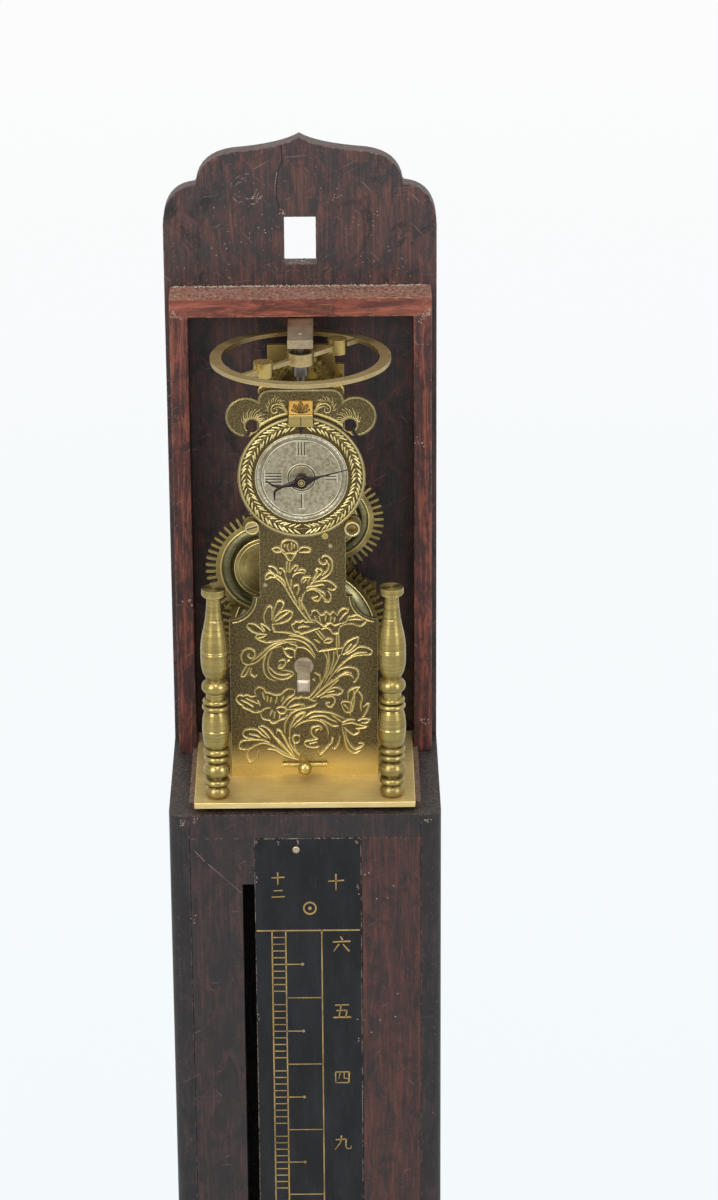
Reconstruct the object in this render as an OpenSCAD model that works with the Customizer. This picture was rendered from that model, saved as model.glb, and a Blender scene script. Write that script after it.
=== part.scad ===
// Pillar clock for a wall post: a narrow wooden case with a brass verge movement on top,
// and a driving weight that falls behind a tall hour scale and carries the hour pointer.
// Millimetres. The origin is the centre of the hanging slot on the back of the backboard.
// +Z is up and the clock faces -Y. Heights marked "above the base" start at the movement's
// base plate, whose top lies at base_z.

/* [Case] */
// Width of the backboard and of the trunk
case_w = 70; // [66:1:80]
// Thickness of the backboard
backboard_t = 5; // [4:0.5:8]
// Depth of the trunk in front of the backboard
trunk_d = 51; // [50:1:60]
// Height of the hanging slot above the top of the movement's base plate
slot_above_base = 135; // [134:1:150]
// Height of the trunk below the base plate
trunk_h = 291; // [291:1:310]
// Width of the hanging slot
slot_w = 8.1; // [6:0.1:10]
// Height of the hanging slot
slot_h = 12.5; // [9:0.5:14]
// Height of the crest's point above the centre of the slot
crest_h = 27.2; // [26:0.2:34]
// Height of the notch in the crest above the centre of the slot
crest_notch_h = 14.8; // [13:0.2:16]
// Distance of the crest's notch from the centre line
crest_notch_x = 26.4; // [24:0.2:28]
// Height of the crest's upper shoulder above the centre of the slot
crest_shoulder_h = 23.4; // [22:0.2:24.5]
// Thickness of the trunk's side boards
side_t = 5.2; // [4:0.2:6]
// Radius of the side boards' front corners
side_corner_r = 3; // [1:0.5:4]
// Thickness of the trunk's front frame
front_t = 5; // [4:0.5:6]
// Thickness of the bottom board
bottom_t = 5; // [4:0.5:8]

/* [Hood rails] */
// Depth of the rails around the movement's recess
rail_d = 11; // [8:0.5:13]
// Width of the side rails
rail_w = 4.7; // [3.5:0.1:5]
// How far the side rails are set in from the backboard's edges
rail_inset = 1.5; // [0.5:0.1:2]
// Height of the top rail
rail_top_h = 5; // [4:0.2:6]
// Height of the top rail's underside above the base plate
rail_top_z = 118; // [118:0.5:120]

/* [Trunk front] */
// Distance of the trunk's top below the top of the base plate
trunk_drop = 3; // [1.6:0.1:4]
// Height of the top rail of the trunk front
front_rail_top_h = 6.5; // [5:0.1:9]
// Width of the pointer's slot beside the hour scale
pointer_slot_w = 3.1; // [2.6:0.1:4]
// Length of the left stile's step above the pointer's slot
slot_step_h = 13.2; // [10:0.2:18]
// Width of the hour scale
scale_w = 27.6; // [24:0.2:29]
// Thickness of the hour scale
scale_t = 3; // [2:0.5:4]
// Distance of the hour scale's middle from the centre line
scale_x = 0.6; // [0:0.1:1]
// How far the hour scale's face stands in front of the trunk
scale_proud = 0.2; // [0:0.1:0.4]
// Thickness of the batten behind the hour scale
batten_t = 3; // [2:0.5:4]
// Width of the batten behind the hour scale
batten_w = 7; // [5:0.5:8]
// Thickness of the seat board under the movement
seat_t = 4; // [3:0.5:5]

/* [Hour scale] */
// Height of the plain head of the hour scale
scale_head_h = 26.3; // [24:0.1:28]
// Spacing of the upper six hours
hour_upper = 19.5; // [18:0.5:20]
// Height of the rail under the hour scale
front_rail_low_h = 6; // [5:0.5:8]
// Plain margin below the last hour
scale_foot_h = 6.2; // [5:0.2:8]

/* [Key drawer] */
// Height of the drawer's opening
drawer_h = 28; // [20:1:30]
// Thickness of the drawer's front
drawer_front_t = 5; // [4:0.5:6]
// Thickness of the drawer's sides and floor
drawer_wall_t = 2.5; // [2:0.5:3.5]
// Clearance around the drawer
drawer_gap = 0.3; // [0.2:0.1:0.6]
// Thickness of the board above the drawer
divider_t = 3; // [2.5:0.5:4]
// Radius of the drawer's knob
knob_r = 3; // [2:0.5:4]
// How far the drawer's knob stands out
knob_l = 6; // [4:0.5:8]

/* [Movement frame] */
// Gap between the base plate and the trunk's sides
base_side_gap = 1.4; // [1:0.1:2.5]
// Thickness of the base plate
base_t = 1.6; // [1.2:0.1:2]
// Distance of the base plate's front edge behind the trunk's front
base_setback = 1; // [0.5:0.1:2]
// Gap between the base plate's back edge and the backboard
base_back_gap = 4; // [3:0.5:6]
// Distance of the front plate's face in front of the backboard
front_plate_d = 32.5; // [32:0.1:34]
// Thickness of the front and back plates
plate_t = 1.5; // [1.2:0.1:1.8]
// Distance of the back plate's rear face in front of the backboard
back_plate_d = 5.5; // [5:0.1:6]
// Half width of both plates at the foot
plate_foot_x = 19; // [18:0.2:20]
// Height of the plates' shoulders
shoulder_z = 43.6; // [42:0.2:45]
// Radius of the hollow shoulders
shoulder_r = 6.3; // [5:0.1:6.6]
// Half width of the plates' necks
neck_x = 11; // [10.6:0.1:11.4]
// Height of the front plate
front_plate_h = 105.7; // [105:0.1:107]
// Half width of the cresting on the front plate
cresting_x = 10.8; // [10:0.1:11.2]
// Radius of the cresting's corners
cresting_r = 3; // [2:0.1:4]
// Radius of the ears beside the cresting
ear_r = 5.2; // [4.8:0.1:5.6]
// Distance of the ears' middles from the centre line
ear_x = 13.8; // [13.4:0.1:14.2]
// Height of the ears' middles
ear_z = 98.5; // [98:0.1:99]
// Radius of the eyes in the ears
eye_r = 1.65; // [1.2:0.05:2]
// Height of the back plate
back_plate_h = 109.2; // [108.8:0.1:109.3]
// Half width of the back plate's head
back_head_x = 8.7; // [8:0.1:9.5]
// Height at which the back plate's head begins
back_head_z = 104; // [103:0.2:105]
// Radius of the pillars between the plates
pillar_r = 1.2; // [1:0.1:1.4]
// Distance of the lower pillars from the centre line
pillar_low_x = 15.5; // [15:0.1:16.5]
// Height of the lower pillars
pillar_low_z = 4.6; // [4:0.1:6]
// Distance of the upper pillars from the centre line
pillar_high_x = 9.4; // [9.3:0.1:9.6]
// Height of the upper pillars
pillar_high_z = 101; // [100:0.1:102]
// Angle of the clamps below the dial's level, in degrees
clamp_angle = 46; // [44:0.5:48]
// Radius of the slotted clamp screw's head
clamp_screw_r = 1.8; // [1.6:0.1:2]
// Radius of the hollow clamp collar
clamp_collar_r = 2; // [1.8:0.1:2.1]

/* [Columns] */
// Height of the turned columns
column_h = 57.4; // [54:0.2:60]
// Largest radius of the turned columns
column_r = 3.6; // [3.4:0.1:3.8]
// Radius of the columns' caps
column_cap_r = 3.05; // [2.8:0.05:3.8]
// Distance of the columns from the base plate's side edges
column_inset = 5.9; // [5:0.1:6.5]
// Distance of the columns behind the base plate's front edge
column_setback = 4.6; // [4.2:0.1:6]

/* [Dial] */
// Radius of the dial plate
dial_r = 16.2; // [15.8:0.1:16.6]
// Thickness of the dial plate
dial_t = 1; // [0.8:0.1:1.2]
// Outer radius of the chapter ring
chapter_r = 11.8; // [11.4:0.1:12]
// Thickness of the silvered chapter disc
chapter_t = 0.3; // [0.2:0.1:0.4]
// Distance of the hand in front of the chapter disc
hand_gap = 3; // [2:0.1:3.4]
// Thickness of the hand
hand_t = 0.6; // [0.4:0.1:0.8]
// Length of the hand from its arbor to the tip
hand_l = 12.1; // [11:0.1:13]
// Length of the hand's curled tail
tail_l = 8.9; // [8:0.1:9.4]
// Rise of the hand above level, in degrees
hand_angle = 15.4; // [0:0.2:30]
// Radius of the hand's boss
hand_boss_r = 1.8; // [1.6:0.1:2.2]
// Width of the index block above the dial
index_w = 6.1; // [5:0.1:7]
// Height of the index block
index_h = 5.8; // [5:0.1:6.4]
// How far the index block stands in front of the front plate
index_d = 4; // [3.4:0.1:5]
// Height of the index block's foot
index_z = 97.2; // [96.8:0.1:97.6]
// Length of the steel index point under the block
index_point_l = 2.6; // [2:0.1:3]

/* [Winding] */
// Height of the winding arbor
barrel_z = 30.7; // [30.4:0.1:31]
// Radius of the barrel's core
barrel_r = 6; // [5.5:0.1:6.4]
// Radius of the barrel's flanges
flange_r = 8.2; // [7.8:0.1:8.4]
// Radius of the winding arbor
arbor_r = 1.5; // [1.3:0.1:1.8]
// Radius of the winding arbor in the front plate
arbor_front_r = 2.4; // [2.3:0.05:2.6]
// Width of the winding square
square_w = 3.2; // [2.8:0.1:3.4]
// How far the winding square stands in front of the front plate
square_l = 14; // [10:0.5:14]
// Radius over the ratchet's teeth
ratchet_r = 6.4; // [6:0.1:6.6]
// Number of ratchet teeth
ratchet_n = 16; // [12:1:20]

/* [Wheel train] */
// Teeth of the great wheel
great_n = 72; // [70:2:72]
// Module of the great wheel
great_m = 0.612; // [0.61:0.001:0.614]
// Leaves of the second pinion
pinion_two_n = 8; // [8:1:9]
// Height of the second arbor
second_z = 53.2; // [53.1:0.05:53.3]
// Teeth of the second wheel
second_n = 50; // [48:1:50]
// Module of the second wheel
second_m = 0.6; // [0.595:0.005:0.6]
// Leaves of the third pinion
pinion_three_n = 16; // [15:1:17]
// Height of the third arbor
third_z = 63.7; // [63.4:0.1:64]
// Teeth of the third wheel
third_n = 46; // [44:1:46]
// Module of the third wheel
third_m = 0.58; // [0.575:0.005:0.58]
// Leaves of the dial arbor's pinion
pinion_four_n = 24; // [23:1:25]
// Teeth of the wheel on the dial arbor
fourth_n = 52; // [50:2:54]
// Module of the wheel on the dial arbor
fourth_m = 0.5; // [0.49:0.005:0.505]
// Leaves of the crown wheel's pinion
pinion_crown_n = 28; // [26:1:29]
// Thickness of the great wheel
great_t = 1.8; // [1.4:0.1:2]
// Thickness of the other wheels
wheel_t = 1.2; // [0.9:0.1:1.3]
// Radius of the train's arbors
train_arbor_r = 0.9; // [0.8:0.05:1]
// Radius of the train's pivots
pivot_r = 0.45; // [0.4:0.05:0.6]

/* [Escapement] */
// Distance of the verge in front of the backboard
verge_d = 24; // [24:0.1:24.5]
// Radius over the crown wheel's rim
crown_r = 6.2; // [5.8:0.1:6.4]
// Number of crown wheel teeth
crown_n = 15; // [11:2:17]
// Height of the crown wheel's rim, teeth included
crown_h = 3; // [2.6:0.1:3.2]
// Outer radius of the balance ring
balance_r = 22.9; // [22.4:0.1:23]
// Width of the balance ring's face
balance_w = 2.8; // [2.4:0.1:3]
// Thickness of the balance ring
balance_t = 1; // [0.8:0.1:1.2]
// Height of the balance ring's underside
balance_z = 110.8; // [110.7:0.1:111]
// Width of the bar across the balance
bar_w = 1.5; // [1.3:0.1:1.8]
// Angle of the bar at rest, in degrees
bar_angle = 45; // [43:1:47]
// Radius of the balance hub
hub_r = 3.4; // [3:0.1:3.6]
// Height of the balance hub
hub_h = 3.1; // [2.8:0.1:3.8]
// Radius of the rate weights
rate_r = 2.45; // [2:0.05:2.5]
// Height of the rate weights
rate_h = 3.8; // [3.4:0.1:4]
// Depth of the rate weights below the underside of the bar
rate_drop = 1.2; // [0.6:0.1:1.3]
// Distance of the rate weights from the verge
rate_x = 13.2; // [12:0.1:14]
// Radius of the verge
verge_r = 1.1; // [1:0.05:1.2]
// Width of the balance cock
cock_w = 6.5; // [6:0.1:8.4]
// Thickness of the balance cock
cock_t = 2.2; // [1.4:0.1:2.4]
// Width of the cock's leg
cock_leg_w = 5.2; // [4.6:0.1:5.4]
// Thickness of the cock's leg
cock_leg_t = 1.6; // [1.4:0.1:1.8]
// Height of the cock's top
cock_z = 117.6; // [117.4:0.1:117.8]
// How far the cock reaches in front of the verge
cock_front_d = 5.3; // [5:0.1:9.5]

/* [Weight and cord] */
// Width and depth of the driving weight
weight_w = 24; // [20:1:25]
// Height of the driving weight
weight_h = 26; // [20:1:27]
// Height of the pointer above the weight's underside
pointer_rise = 6; // [5:0.5:7]
// Thickness of the pointer
pointer_t = 1.2; // [1:0.1:1.6]
// Height of the pointer's shank
pointer_h = 3; // [2.4:0.1:3.4]
// Reach of the pointer's tip over the hour scale
pointer_reach = 6; // [4:0.5:8]
// Radius of the weight cord
cord_r = 0.6; // [0.5:0.05:0.65]
// Radius of the weight's hook wire
hook_wire_r = 0.8; // [0.6:0.1:0.9]
// Turns of cord left on the barrel when the clock has run down
cord_turns_n = 3; // [2:1:3]
// Gap between neighbouring turns of the cord
cord_gap = 0.45; // [0.42:0.01:0.5]

/* [Hidden] */
// Running clearance of an arbor in its hole
run_gap = 0.05;
// Clearance of a fixed piece in its hole
seat_gap = 0.02;
// End play of an arbor, or side play of a sliding piece
end_gap = 0.3;
// Small overlap of a cutting shape past a face
cut = 1;

base_z = -slot_above_base;
board_y = -backboard_t;
rail_y = board_y - rail_d;
trunk_y = board_y - trunk_d;
bottom_z = base_z - trunk_h;
side_x = case_w / 2 - side_t;
rail_x = case_w / 2 - rail_inset;
frame_back_y = trunk_y + front_t;
scale_left = scale_x - scale_w / 2;
scale_right = scale_x + scale_w / 2;
scale_y = trunk_y - scale_proud;
trunk_top = base_z - trunk_drop;
scale_top = trunk_top - front_rail_top_h;
drawer_top = bottom_z + bottom_t + drawer_h;
scale_bottom = drawer_top + front_rail_low_h;
divider_top = drawer_top + divider_t;
drawer_y = board_y - 4;
base_w = 2 * (side_x - base_side_gap);
column_x = base_w / 2 - column_inset;
base_front = trunk_y + base_setback;
base_back = board_y - base_back_gap;
front_y = board_y - front_plate_d;
front_back_y = front_y + plate_t;
back_y = board_y - back_plate_d;
back_front_y = back_y - plate_t;
column_y = base_front + column_setback;

// The train's planes, from the back plate forwards
great_y = back_front_y - 2.2;
third_y = great_y - great_t - 1.8;
fourth_y = third_y - wheel_t - 2.2;
second_y = fourth_y - wheel_t - 1.9;
great_front_y = great_y - great_t;
ratchet_t = 1.1;
ratchet_y = great_front_y - end_gap;
barrel_back_y = ratchet_y - ratchet_t;
barrel_l = 12.3;
flange_t = 1;
barrel_front_y = barrel_back_y - barrel_l;

// Centres of the arbors, x and height above the base, set by the meshing distances
great_d2 = great_m * (great_n + pinion_two_n) / 2;
second_x = -sqrt(pow(great_d2, 2) - pow(second_z - barrel_z, 2));
second_d3 = second_m * (second_n + pinion_three_n) / 2;
third_x = second_x + sqrt(pow(second_d3, 2) - pow(third_z - second_z, 2));
third_d4 = third_m * (third_n + pinion_four_n) / 2;
dial_z = third_z + sqrt(pow(third_d4, 2) - pow(third_x, 2));
crown_z = dial_z + fourth_m * (fourth_n + pinion_crown_n) / 2;

// Dial, hand and escapement
dial_y = front_y - dial_t;
chapter_y = dial_y - chapter_t;
hand_y = chapter_y - hand_gap;
verge_y = board_y - verge_d;
pallet_r = 1.75;
crown_tip_y = verge_y + pallet_r + 0.35;
crown_web_t = 0.8;
crown_back_y = crown_tip_y + crown_h;
cock_back_y = back_front_y;
cock_under = cock_z - cock_t;
potence_z = crown_z - crown_r - 3.4;

// Weight, at the foot of its fall
pointer_z = scale_bottom + scale_foot_h;
hours_h = scale_top - scale_head_h - pointer_z;
hour_lower = hours_h / 6 - hour_upper;
weight_z = pointer_z - pointer_rise;
turn_r = barrel_r + cord_r + 0.06;
cord_x = -turn_r;
cord_y = barrel_back_y - flange_t - cord_r - 0.05 - cord_turns_n * (2 * cord_r + cord_gap);
weight_top = weight_z + weight_h;
hook_h = 6;
slot_mid_x = scale_left - pointer_slot_w / 2;

// A block given by its low and high corners
module block(low, high) {
    translate(low) cube([for (i = [0:2]) high[i] - low[i]]);
}

// A flat shape drawn in x and height above the base, made t thick towards the front
module upright(y_back, t) {
    translate([0, y_back, base_z]) rotate([90, 0, 0]) linear_extrude(t) children();
}

// A round rod along Y between two planes, at x and a height above the base
module rod(x, z, y_back, y_front, r) {
    upright(y_back, y_back - y_front) translate([x, z]) circle(r);
}

// Points of a quadratic curve from a past b to c
function curve(a, b, c, n) = [for (i = [0:n]) let (t = i / n)
    a * pow(1 - t, 2) + b * 2 * t * (1 - t) + c * pow(t, 2)];

// A point at a radius and an angle
function polar(r, a) = [r * cos(a), r * sin(a)];

$fn = 48;

wood_dark = "#3B1712";
wood_red = "#6B2C1C";
lacquer = "#17171A";
brass = "#C9A13B";
steel = "#8E9096";
blued = "#2B2A30";
silvered = "#BDB58A";
cord_brown = "#4A3A2A";

// Case

// Right half of the crest: an ogee to the point, a round shoulder, a notch and a lower shoulder
crest_edge = case_w / 2;
crest_right = concat(
    curve([0, crest_h], [4.5, crest_h - 2.8], [17, crest_shoulder_h], 8),
    curve([17, crest_shoulder_h], [crest_notch_x - 1, crest_shoulder_h - 1.2],
        [crest_notch_x, crest_notch_h + 0.4], 8),
    curve([crest_notch_x + 0.4, crest_notch_h], [crest_edge - 0.2, crest_notch_h - 0.8],
        [crest_edge, 4], 10));

module backboard() {
    last = len(crest_right) - 1;
    color(wood_dark) rotate([90, 0, 0]) linear_extrude(backboard_t) difference() {
        polygon(concat([[crest_edge, bottom_z], [-crest_edge, bottom_z]],
            [for (i = [0:last - 1]) [-crest_right[last - i][0], crest_right[last - i][1]]],
            crest_right));
        square([slot_w, slot_h], center = true);
    }
}

module hood_rail() {
    color(wood_red) block([rail_x - rail_w, rail_y, trunk_top],
        [rail_x, board_y, base_z + rail_top_z]);
}

module hood_rail_left() {
    mirror([1, 0, 0]) hood_rail();
}

module hood_rail_right() {
    hood_rail();
}

module hood_rail_top() {
    color(wood_red) block([-rail_x, rail_y, base_z + rail_top_z],
        [rail_x, board_y, base_z + rail_top_z + rail_top_h]);
}

// A side board of the trunk, with its outer front corner rounded
module trunk_side() {
    corner_x = case_w / 2 - side_corner_r;
    corner_y = trunk_y + side_corner_r;
    color(wood_dark) translate([0, 0, bottom_z]) linear_extrude(trunk_top - bottom_z) {
        translate([side_x, corner_y]) square([side_t, trunk_d - side_corner_r]);
        translate([side_x, trunk_y]) square([corner_x - side_x, side_corner_r + 0.1]);
        intersection() {
            translate([corner_x, corner_y]) circle(side_corner_r);
            translate([corner_x - 0.1, trunk_y]) square([side_corner_r + 0.1, side_corner_r]);
        }
    }
}

module trunk_side_left() {
    mirror([1, 0, 0]) trunk_side();
}

module trunk_side_right() {
    trunk_side();
}

// The left stile is stepped: it closes the top of the pointer's slot
module trunk_stile_left() {
    color(wood_dark) {
        block([-side_x, trunk_y, drawer_top],
            [scale_left - pointer_slot_w, frame_back_y, scale_top]);
        block([scale_left - pointer_slot_w - 0.1, trunk_y, scale_top - slot_step_h],
            [scale_left, frame_back_y, scale_top]);
    }
}

module trunk_stile_right() {
    color(wood_dark) block([scale_right, trunk_y, drawer_top],
        [side_x, frame_back_y, scale_top]);
}

module trunk_rail_top() {
    color(wood_dark) block([-side_x, trunk_y, scale_top],
        [side_x, frame_back_y, trunk_top]);
}

module trunk_rail_low() {
    color(wood_dark) block([scale_left - pointer_slot_w, trunk_y, drawer_top],
        [scale_right, frame_back_y, scale_bottom]);
}

module scale_batten() {
    color(wood_dark) block([scale_right - batten_w, scale_y + scale_t, scale_bottom],
        [scale_right, frame_back_y + batten_t, scale_top]);
}

// The board under the base plate stands a little above the trunk's top, and is notched at
// the back corners for the feet of the side rails
module seat_board() {
    color(wood_dark) difference() {
        block([-side_x, frame_back_y, base_z - base_t - seat_t],
            [side_x, board_y, base_z - base_t]);
        for (s = [0, 1]) mirror([s, 0, 0])
            block([rail_x - rail_w, rail_y, trunk_top], [side_x + cut, board_y + cut, base_z]);
        translate([cord_x, cord_y, base_z - base_t - seat_t - cut])
            cylinder(h = seat_t + 2 * cut, r = seat_hole_r);
    }
}

module drawer_divider() {
    color(wood_dark) block([-side_x, frame_back_y, drawer_top],
        [side_x, board_y, divider_top]);
}

module bottom_board() {
    color(wood_dark) block([-side_x, trunk_y, bottom_z], [side_x, board_y, bottom_z + bottom_t]);
}

module scale_board() {
    color(lacquer) block([scale_left, scale_y, scale_bottom],
        [scale_right, scale_y + scale_t, scale_top]);
}

// Key drawer

drawer_x = side_x - drawer_gap;
drawer_low = bottom_z + bottom_t + drawer_gap;
drawer_high = drawer_top - drawer_gap;
drawer_back_y = board_y - end_gap - 3;
drawer_box_y = trunk_y + drawer_front_t;
knob_z = (drawer_low + drawer_high) / 2;
knob_stem_r = 1.2;

module drawer_front() {
    color(wood_red) difference() {
        block([-drawer_x, trunk_y, drawer_low], [drawer_x, drawer_box_y, drawer_high]);
        translate([0, drawer_box_y + cut, knob_z]) rotate([90, 0, 0])
            cylinder(h = drawer_front_t + 2 * cut, r = knob_stem_r + seat_gap);
    }
}

module drawer_box() {
    color(wood_red) difference() {
        block([-drawer_x, drawer_box_y, drawer_low], [drawer_x, drawer_back_y, drawer_high - 3]);
        block([-drawer_x + drawer_wall_t, drawer_box_y + drawer_wall_t,
            drawer_low + drawer_wall_t], [drawer_x - drawer_wall_t,
            drawer_back_y - drawer_wall_t, drawer_high + cut]);
        translate([0, drawer_box_y + drawer_wall_t + cut, knob_z]) rotate([90, 0, 0])
            cylinder(h = drawer_wall_t + 2 * cut, r = knob_stem_r + seat_gap);
    }
}

// A turned brass knob on a stem riveted inside the drawer
module drawer_knob() {
    color(brass) translate([0, trunk_y, knob_z]) rotate([90, 0, 0]) {
        translate([0, 0, -drawer_front_t - drawer_wall_t]) cylinder(
            h = drawer_front_t + drawer_wall_t + knob_l - knob_r, r = knob_stem_r);
        cylinder(h = 0.8, r = knob_r);
        translate([0, 0, knob_l - knob_r * 0.9]) sphere(knob_r * 0.9);
    }
}

// The winding key lies in the drawer: a square socket and two wings
key_l = 24;
key_r = 3;
key_wing_r = 5;
key_wing_t = 2.4;
key_x = key_wing_r + 4 + end_gap + drawer_wall_t - drawer_x;
key_z = drawer_low + drawer_wall_t + key_r;

module winding_key() {
    color(brass) translate([key_x, (drawer_box_y + drawer_back_y) / 2 - key_wing_r + 0.7, key_z]) {
        difference() {
            rotate([90, 0, 0]) translate([0, 0, -key_l / 2]) cylinder(h = key_l, r = key_r);
            translate([-square_w / 2 - 0.1, -key_l / 2 - cut, -square_w / 2 - 0.1])
                cube([square_w + 0.2, 10 + cut, square_w + 0.2]);
        }
        translate([0, key_l / 2 + key_wing_r - 1.4, -key_wing_t / 2])
            linear_extrude(key_wing_t) difference() {
                union() {
                    for (s = [-1, 1]) translate([s * 4, 0]) circle(key_wing_r);
                    translate([-4, -key_wing_r]) square([8, key_wing_r * 1.6]);
                }
                for (s = [-1, 1]) translate([s * 4.6, 0]) circle(2);
            }
    }
}

// Movement frame

module base_plate() {
    color(brass) difference() {
        block([-base_w / 2, base_front, base_z - base_t], [base_w / 2, base_back, base_z]);
        translate([cord_x, cord_y, base_z - base_t - cut])
            cylinder(h = base_t + 2 * cut, r = base_hole_r);
    }
}

// Foot and hollow shoulders that the front and back plates share
module plate_foot() {
    difference() {
        translate([-plate_foot_x, 0]) square([2 * plate_foot_x, shoulder_z + shoulder_r]);
        for (s = [-1, 1]) translate([s * plate_foot_x, shoulder_z + shoulder_r])
            circle(shoulder_r);
    }
}

// Right half of the cresting: the middle, an ear with its eye, and a clamp's lug
module cresting_half() {
    difference() {
        union() {
            translate([0, ear_z - ear_r]) square([cresting_x,
                front_plate_h - cresting_r - ear_z + ear_r]);
            translate([0, ear_z]) square([cresting_x - cresting_r, front_plate_h - ear_z]);
            translate([cresting_x - cresting_r, front_plate_h - cresting_r])
                circle(cresting_r);
            translate([ear_x, ear_z]) circle(ear_r);
            translate([clamp_x, clamp_z]) circle(clamp_collar_r + 0.3);
        }
        translate([eye_x, eye_z]) circle(eye_r);
        translate([eye_x, eye_z]) rotate(-62) translate([0, -0.4]) square([ear_r + 2, 0.8]);
        translate([clamp_x, clamp_z]) circle(clamp_hole_r);
    }
}

module front_plate() {
    color(brass) upright(front_back_y, plate_t) difference() {
        union() {
            plate_foot();
            translate([-neck_x, 0]) square([2 * neck_x, ear_z]);
            for (s = [0, 1]) mirror([s, 0]) cresting_half();
        }
        translate([0, barrel_z]) circle(arbor_front_r + run_gap);
        translate([second_x, second_z]) circle(pivot_r + run_gap);
        translate([third_x, third_z]) circle(pivot_r + run_gap);
        translate([0, dial_z]) circle(train_arbor_r + run_gap);
        translate([0, stud_z]) circle(stud_r + seat_gap);
    }
}

module back_plate() {
    color(brass) upright(back_y, plate_t) difference() {
        union() {
            plate_foot();
            translate([-neck_x, 0]) square([2 * neck_x, back_head_z]);
            translate([-back_head_x, 0]) square([2 * back_head_x, back_plate_h]);
        }
        translate([0, barrel_z]) circle(barrel_pivot_r + run_gap);
        translate([second_x, second_z]) circle(pivot_r + run_gap);
        translate([third_x, third_z]) circle(pivot_r + run_gap);
        translate([0, dial_z]) circle(pivot_r + run_gap);
        translate([0, crown_z]) circle(pivot_r + run_gap);
        translate([0, cock_screw_z]) circle(cock_screw_r + seat_gap);
    }
}

module plate_pillars() {
    color(brass) for (p = [[pillar_low_x, pillar_low_z], [pillar_high_x, pillar_high_z]])
        for (s = [-1, 1]) {
            rod(s * p[0], p[1], back_front_y, front_back_y, pillar_r);
            translate([s * p[0], (back_front_y + front_back_y) / 2, base_z + p[1]])
                rotate([90, 0, 0]) rotate_extrude()
                    translate([pillar_r, 0]) circle(0.45);
        }
}

// Outline of one turned bead: from height z, h tall, r at its widest
module bead(z, h, r) {
    translate([r - h / 2, z + h / 2]) circle(h / 2);
    translate([0, z]) square([r - h / 2, h]);
}

// A turned column: foot bulb, ball, barrel, discs and bead under a tall vase and a cap
module column_profile() {
    k = column_h / 57.4;
    r = column_r;
    square([1.7, column_h - 0.8]);
    bead(0, 3.3 * k, r - 0.4);
    bead(3.6 * k, 1.6 * k, r - 0.3);
    bead(5.5 * k, 4.4 * k, r - 0.1);
    bead(10.2 * k, 1.6 * k, r - 0.3);
    bead(12.1 * k, 1.7 * k, r - 0.2);
    polygon([[0, 14.1 * k], [2.7, 14.1 * k], [3.1, 14.9 * k], [r - 0.2, 16.4 * k],
        [r, 18.9 * k], [r - 0.15, 19.2 * k], [r, 19.5 * k], [r - 0.2, 22 * k],
        [3.1, 23.4 * k], [2.7, 24.1 * k], [0, 24.1 * k]]);
    bead(24.4 * k, 1.4 * k, r - 0.1);
    bead(26.1 * k, 1.3 * k, r - 0.3);
    translate([0, 27 * k]) square([2.4, 2.2 * k]);
    bead(28.8 * k, 3.8 * k, r - 0.1);
    polygon([[0, 32.3 * k], [2.1, 32.3 * k], [2.3, 33 * k], [3.1, 34.6 * k], [3.5, 36.4 * k],
        [r, 38.4 * k], [r, 40 * k], [r - 0.12, 40.3 * k], [r, 40.6 * k], [r - 0.12, 40.9 * k],
        [r, 41.2 * k], [3.45, 43 * k], [3.1, 45.2 * k], [2.6, 47.4 * k], [2.35, 48.9 * k],
        [2.1, 49.2 * k], [2.25, 49.5 * k], [2, 51.4 * k], [1.85, 53.4 * k],
        [1.8, 54.8 * k], [2.1, 55.6 * k], [0, 55.6 * k]]);
    translate([0, column_h - 1.9]) square([column_cap_r - 0.3, 0.6]);
    translate([0, column_h - 1.5]) square([column_cap_r, 1.5]);
}

module column() {
    color(brass) translate([column_x, column_y, base_z]) rotate_extrude() intersection() {
        column_profile();
        square([column_r + 1, column_h]);
    }
}

module column_left() {
    mirror([1, 0, 0]) column();
}

module column_right() {
    column();
}

// Dial

module dial_plate() {
    color(brass) upright(front_y, dial_t) translate([0, dial_z]) difference() {
        circle(dial_r, $fn = 96);
        circle(train_arbor_r + run_gap);
    }
}

module chapter_disc() {
    color(silvered) upright(dial_y, chapter_t) translate([0, dial_z]) difference() {
        circle(chapter_r, $fn = 96);
        circle(train_arbor_r + run_gap);
    }
}

// Slotted screw and hollow collar whose heads hold the dial by its rim
module dial_clamp_screw() {
    color(brass) difference() {
        union() {
            rod(-clamp_x, clamp_z, front_y, front_y - dial_t - 1.2, clamp_screw_r);
            rod(-clamp_x, clamp_z, front_back_y + 0.6, front_y - dial_t, clamp_stem_r);
        }
        upright(front_y - dial_t - 0.8, 1) translate([-clamp_x, clamp_z]) rotate(18)
            square([2 * clamp_screw_r + 1, 0.5], center = true);
    }
}

module dial_clamp_collar() {
    color(brass) difference() {
        union() {
            rod(clamp_x, clamp_z, front_y, front_y - dial_t - 2.6, clamp_collar_r);
            rod(clamp_x, clamp_z, front_back_y + 0.6, front_y - dial_t, clamp_stem_r);
        }
        rod(clamp_x, clamp_z, front_y - dial_t, front_y - dial_t - 3.6, clamp_collar_r / 2);
    }
}

module dial_pin() {
    color(brass) {
        rod(dial_pin_x, dial_pin_z, front_y, dial_y - 0.9, 0.4);
        rod(dial_pin_x, dial_pin_z, dial_y - 0.3, dial_y - 0.9, 0.8);
    }
}

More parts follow.
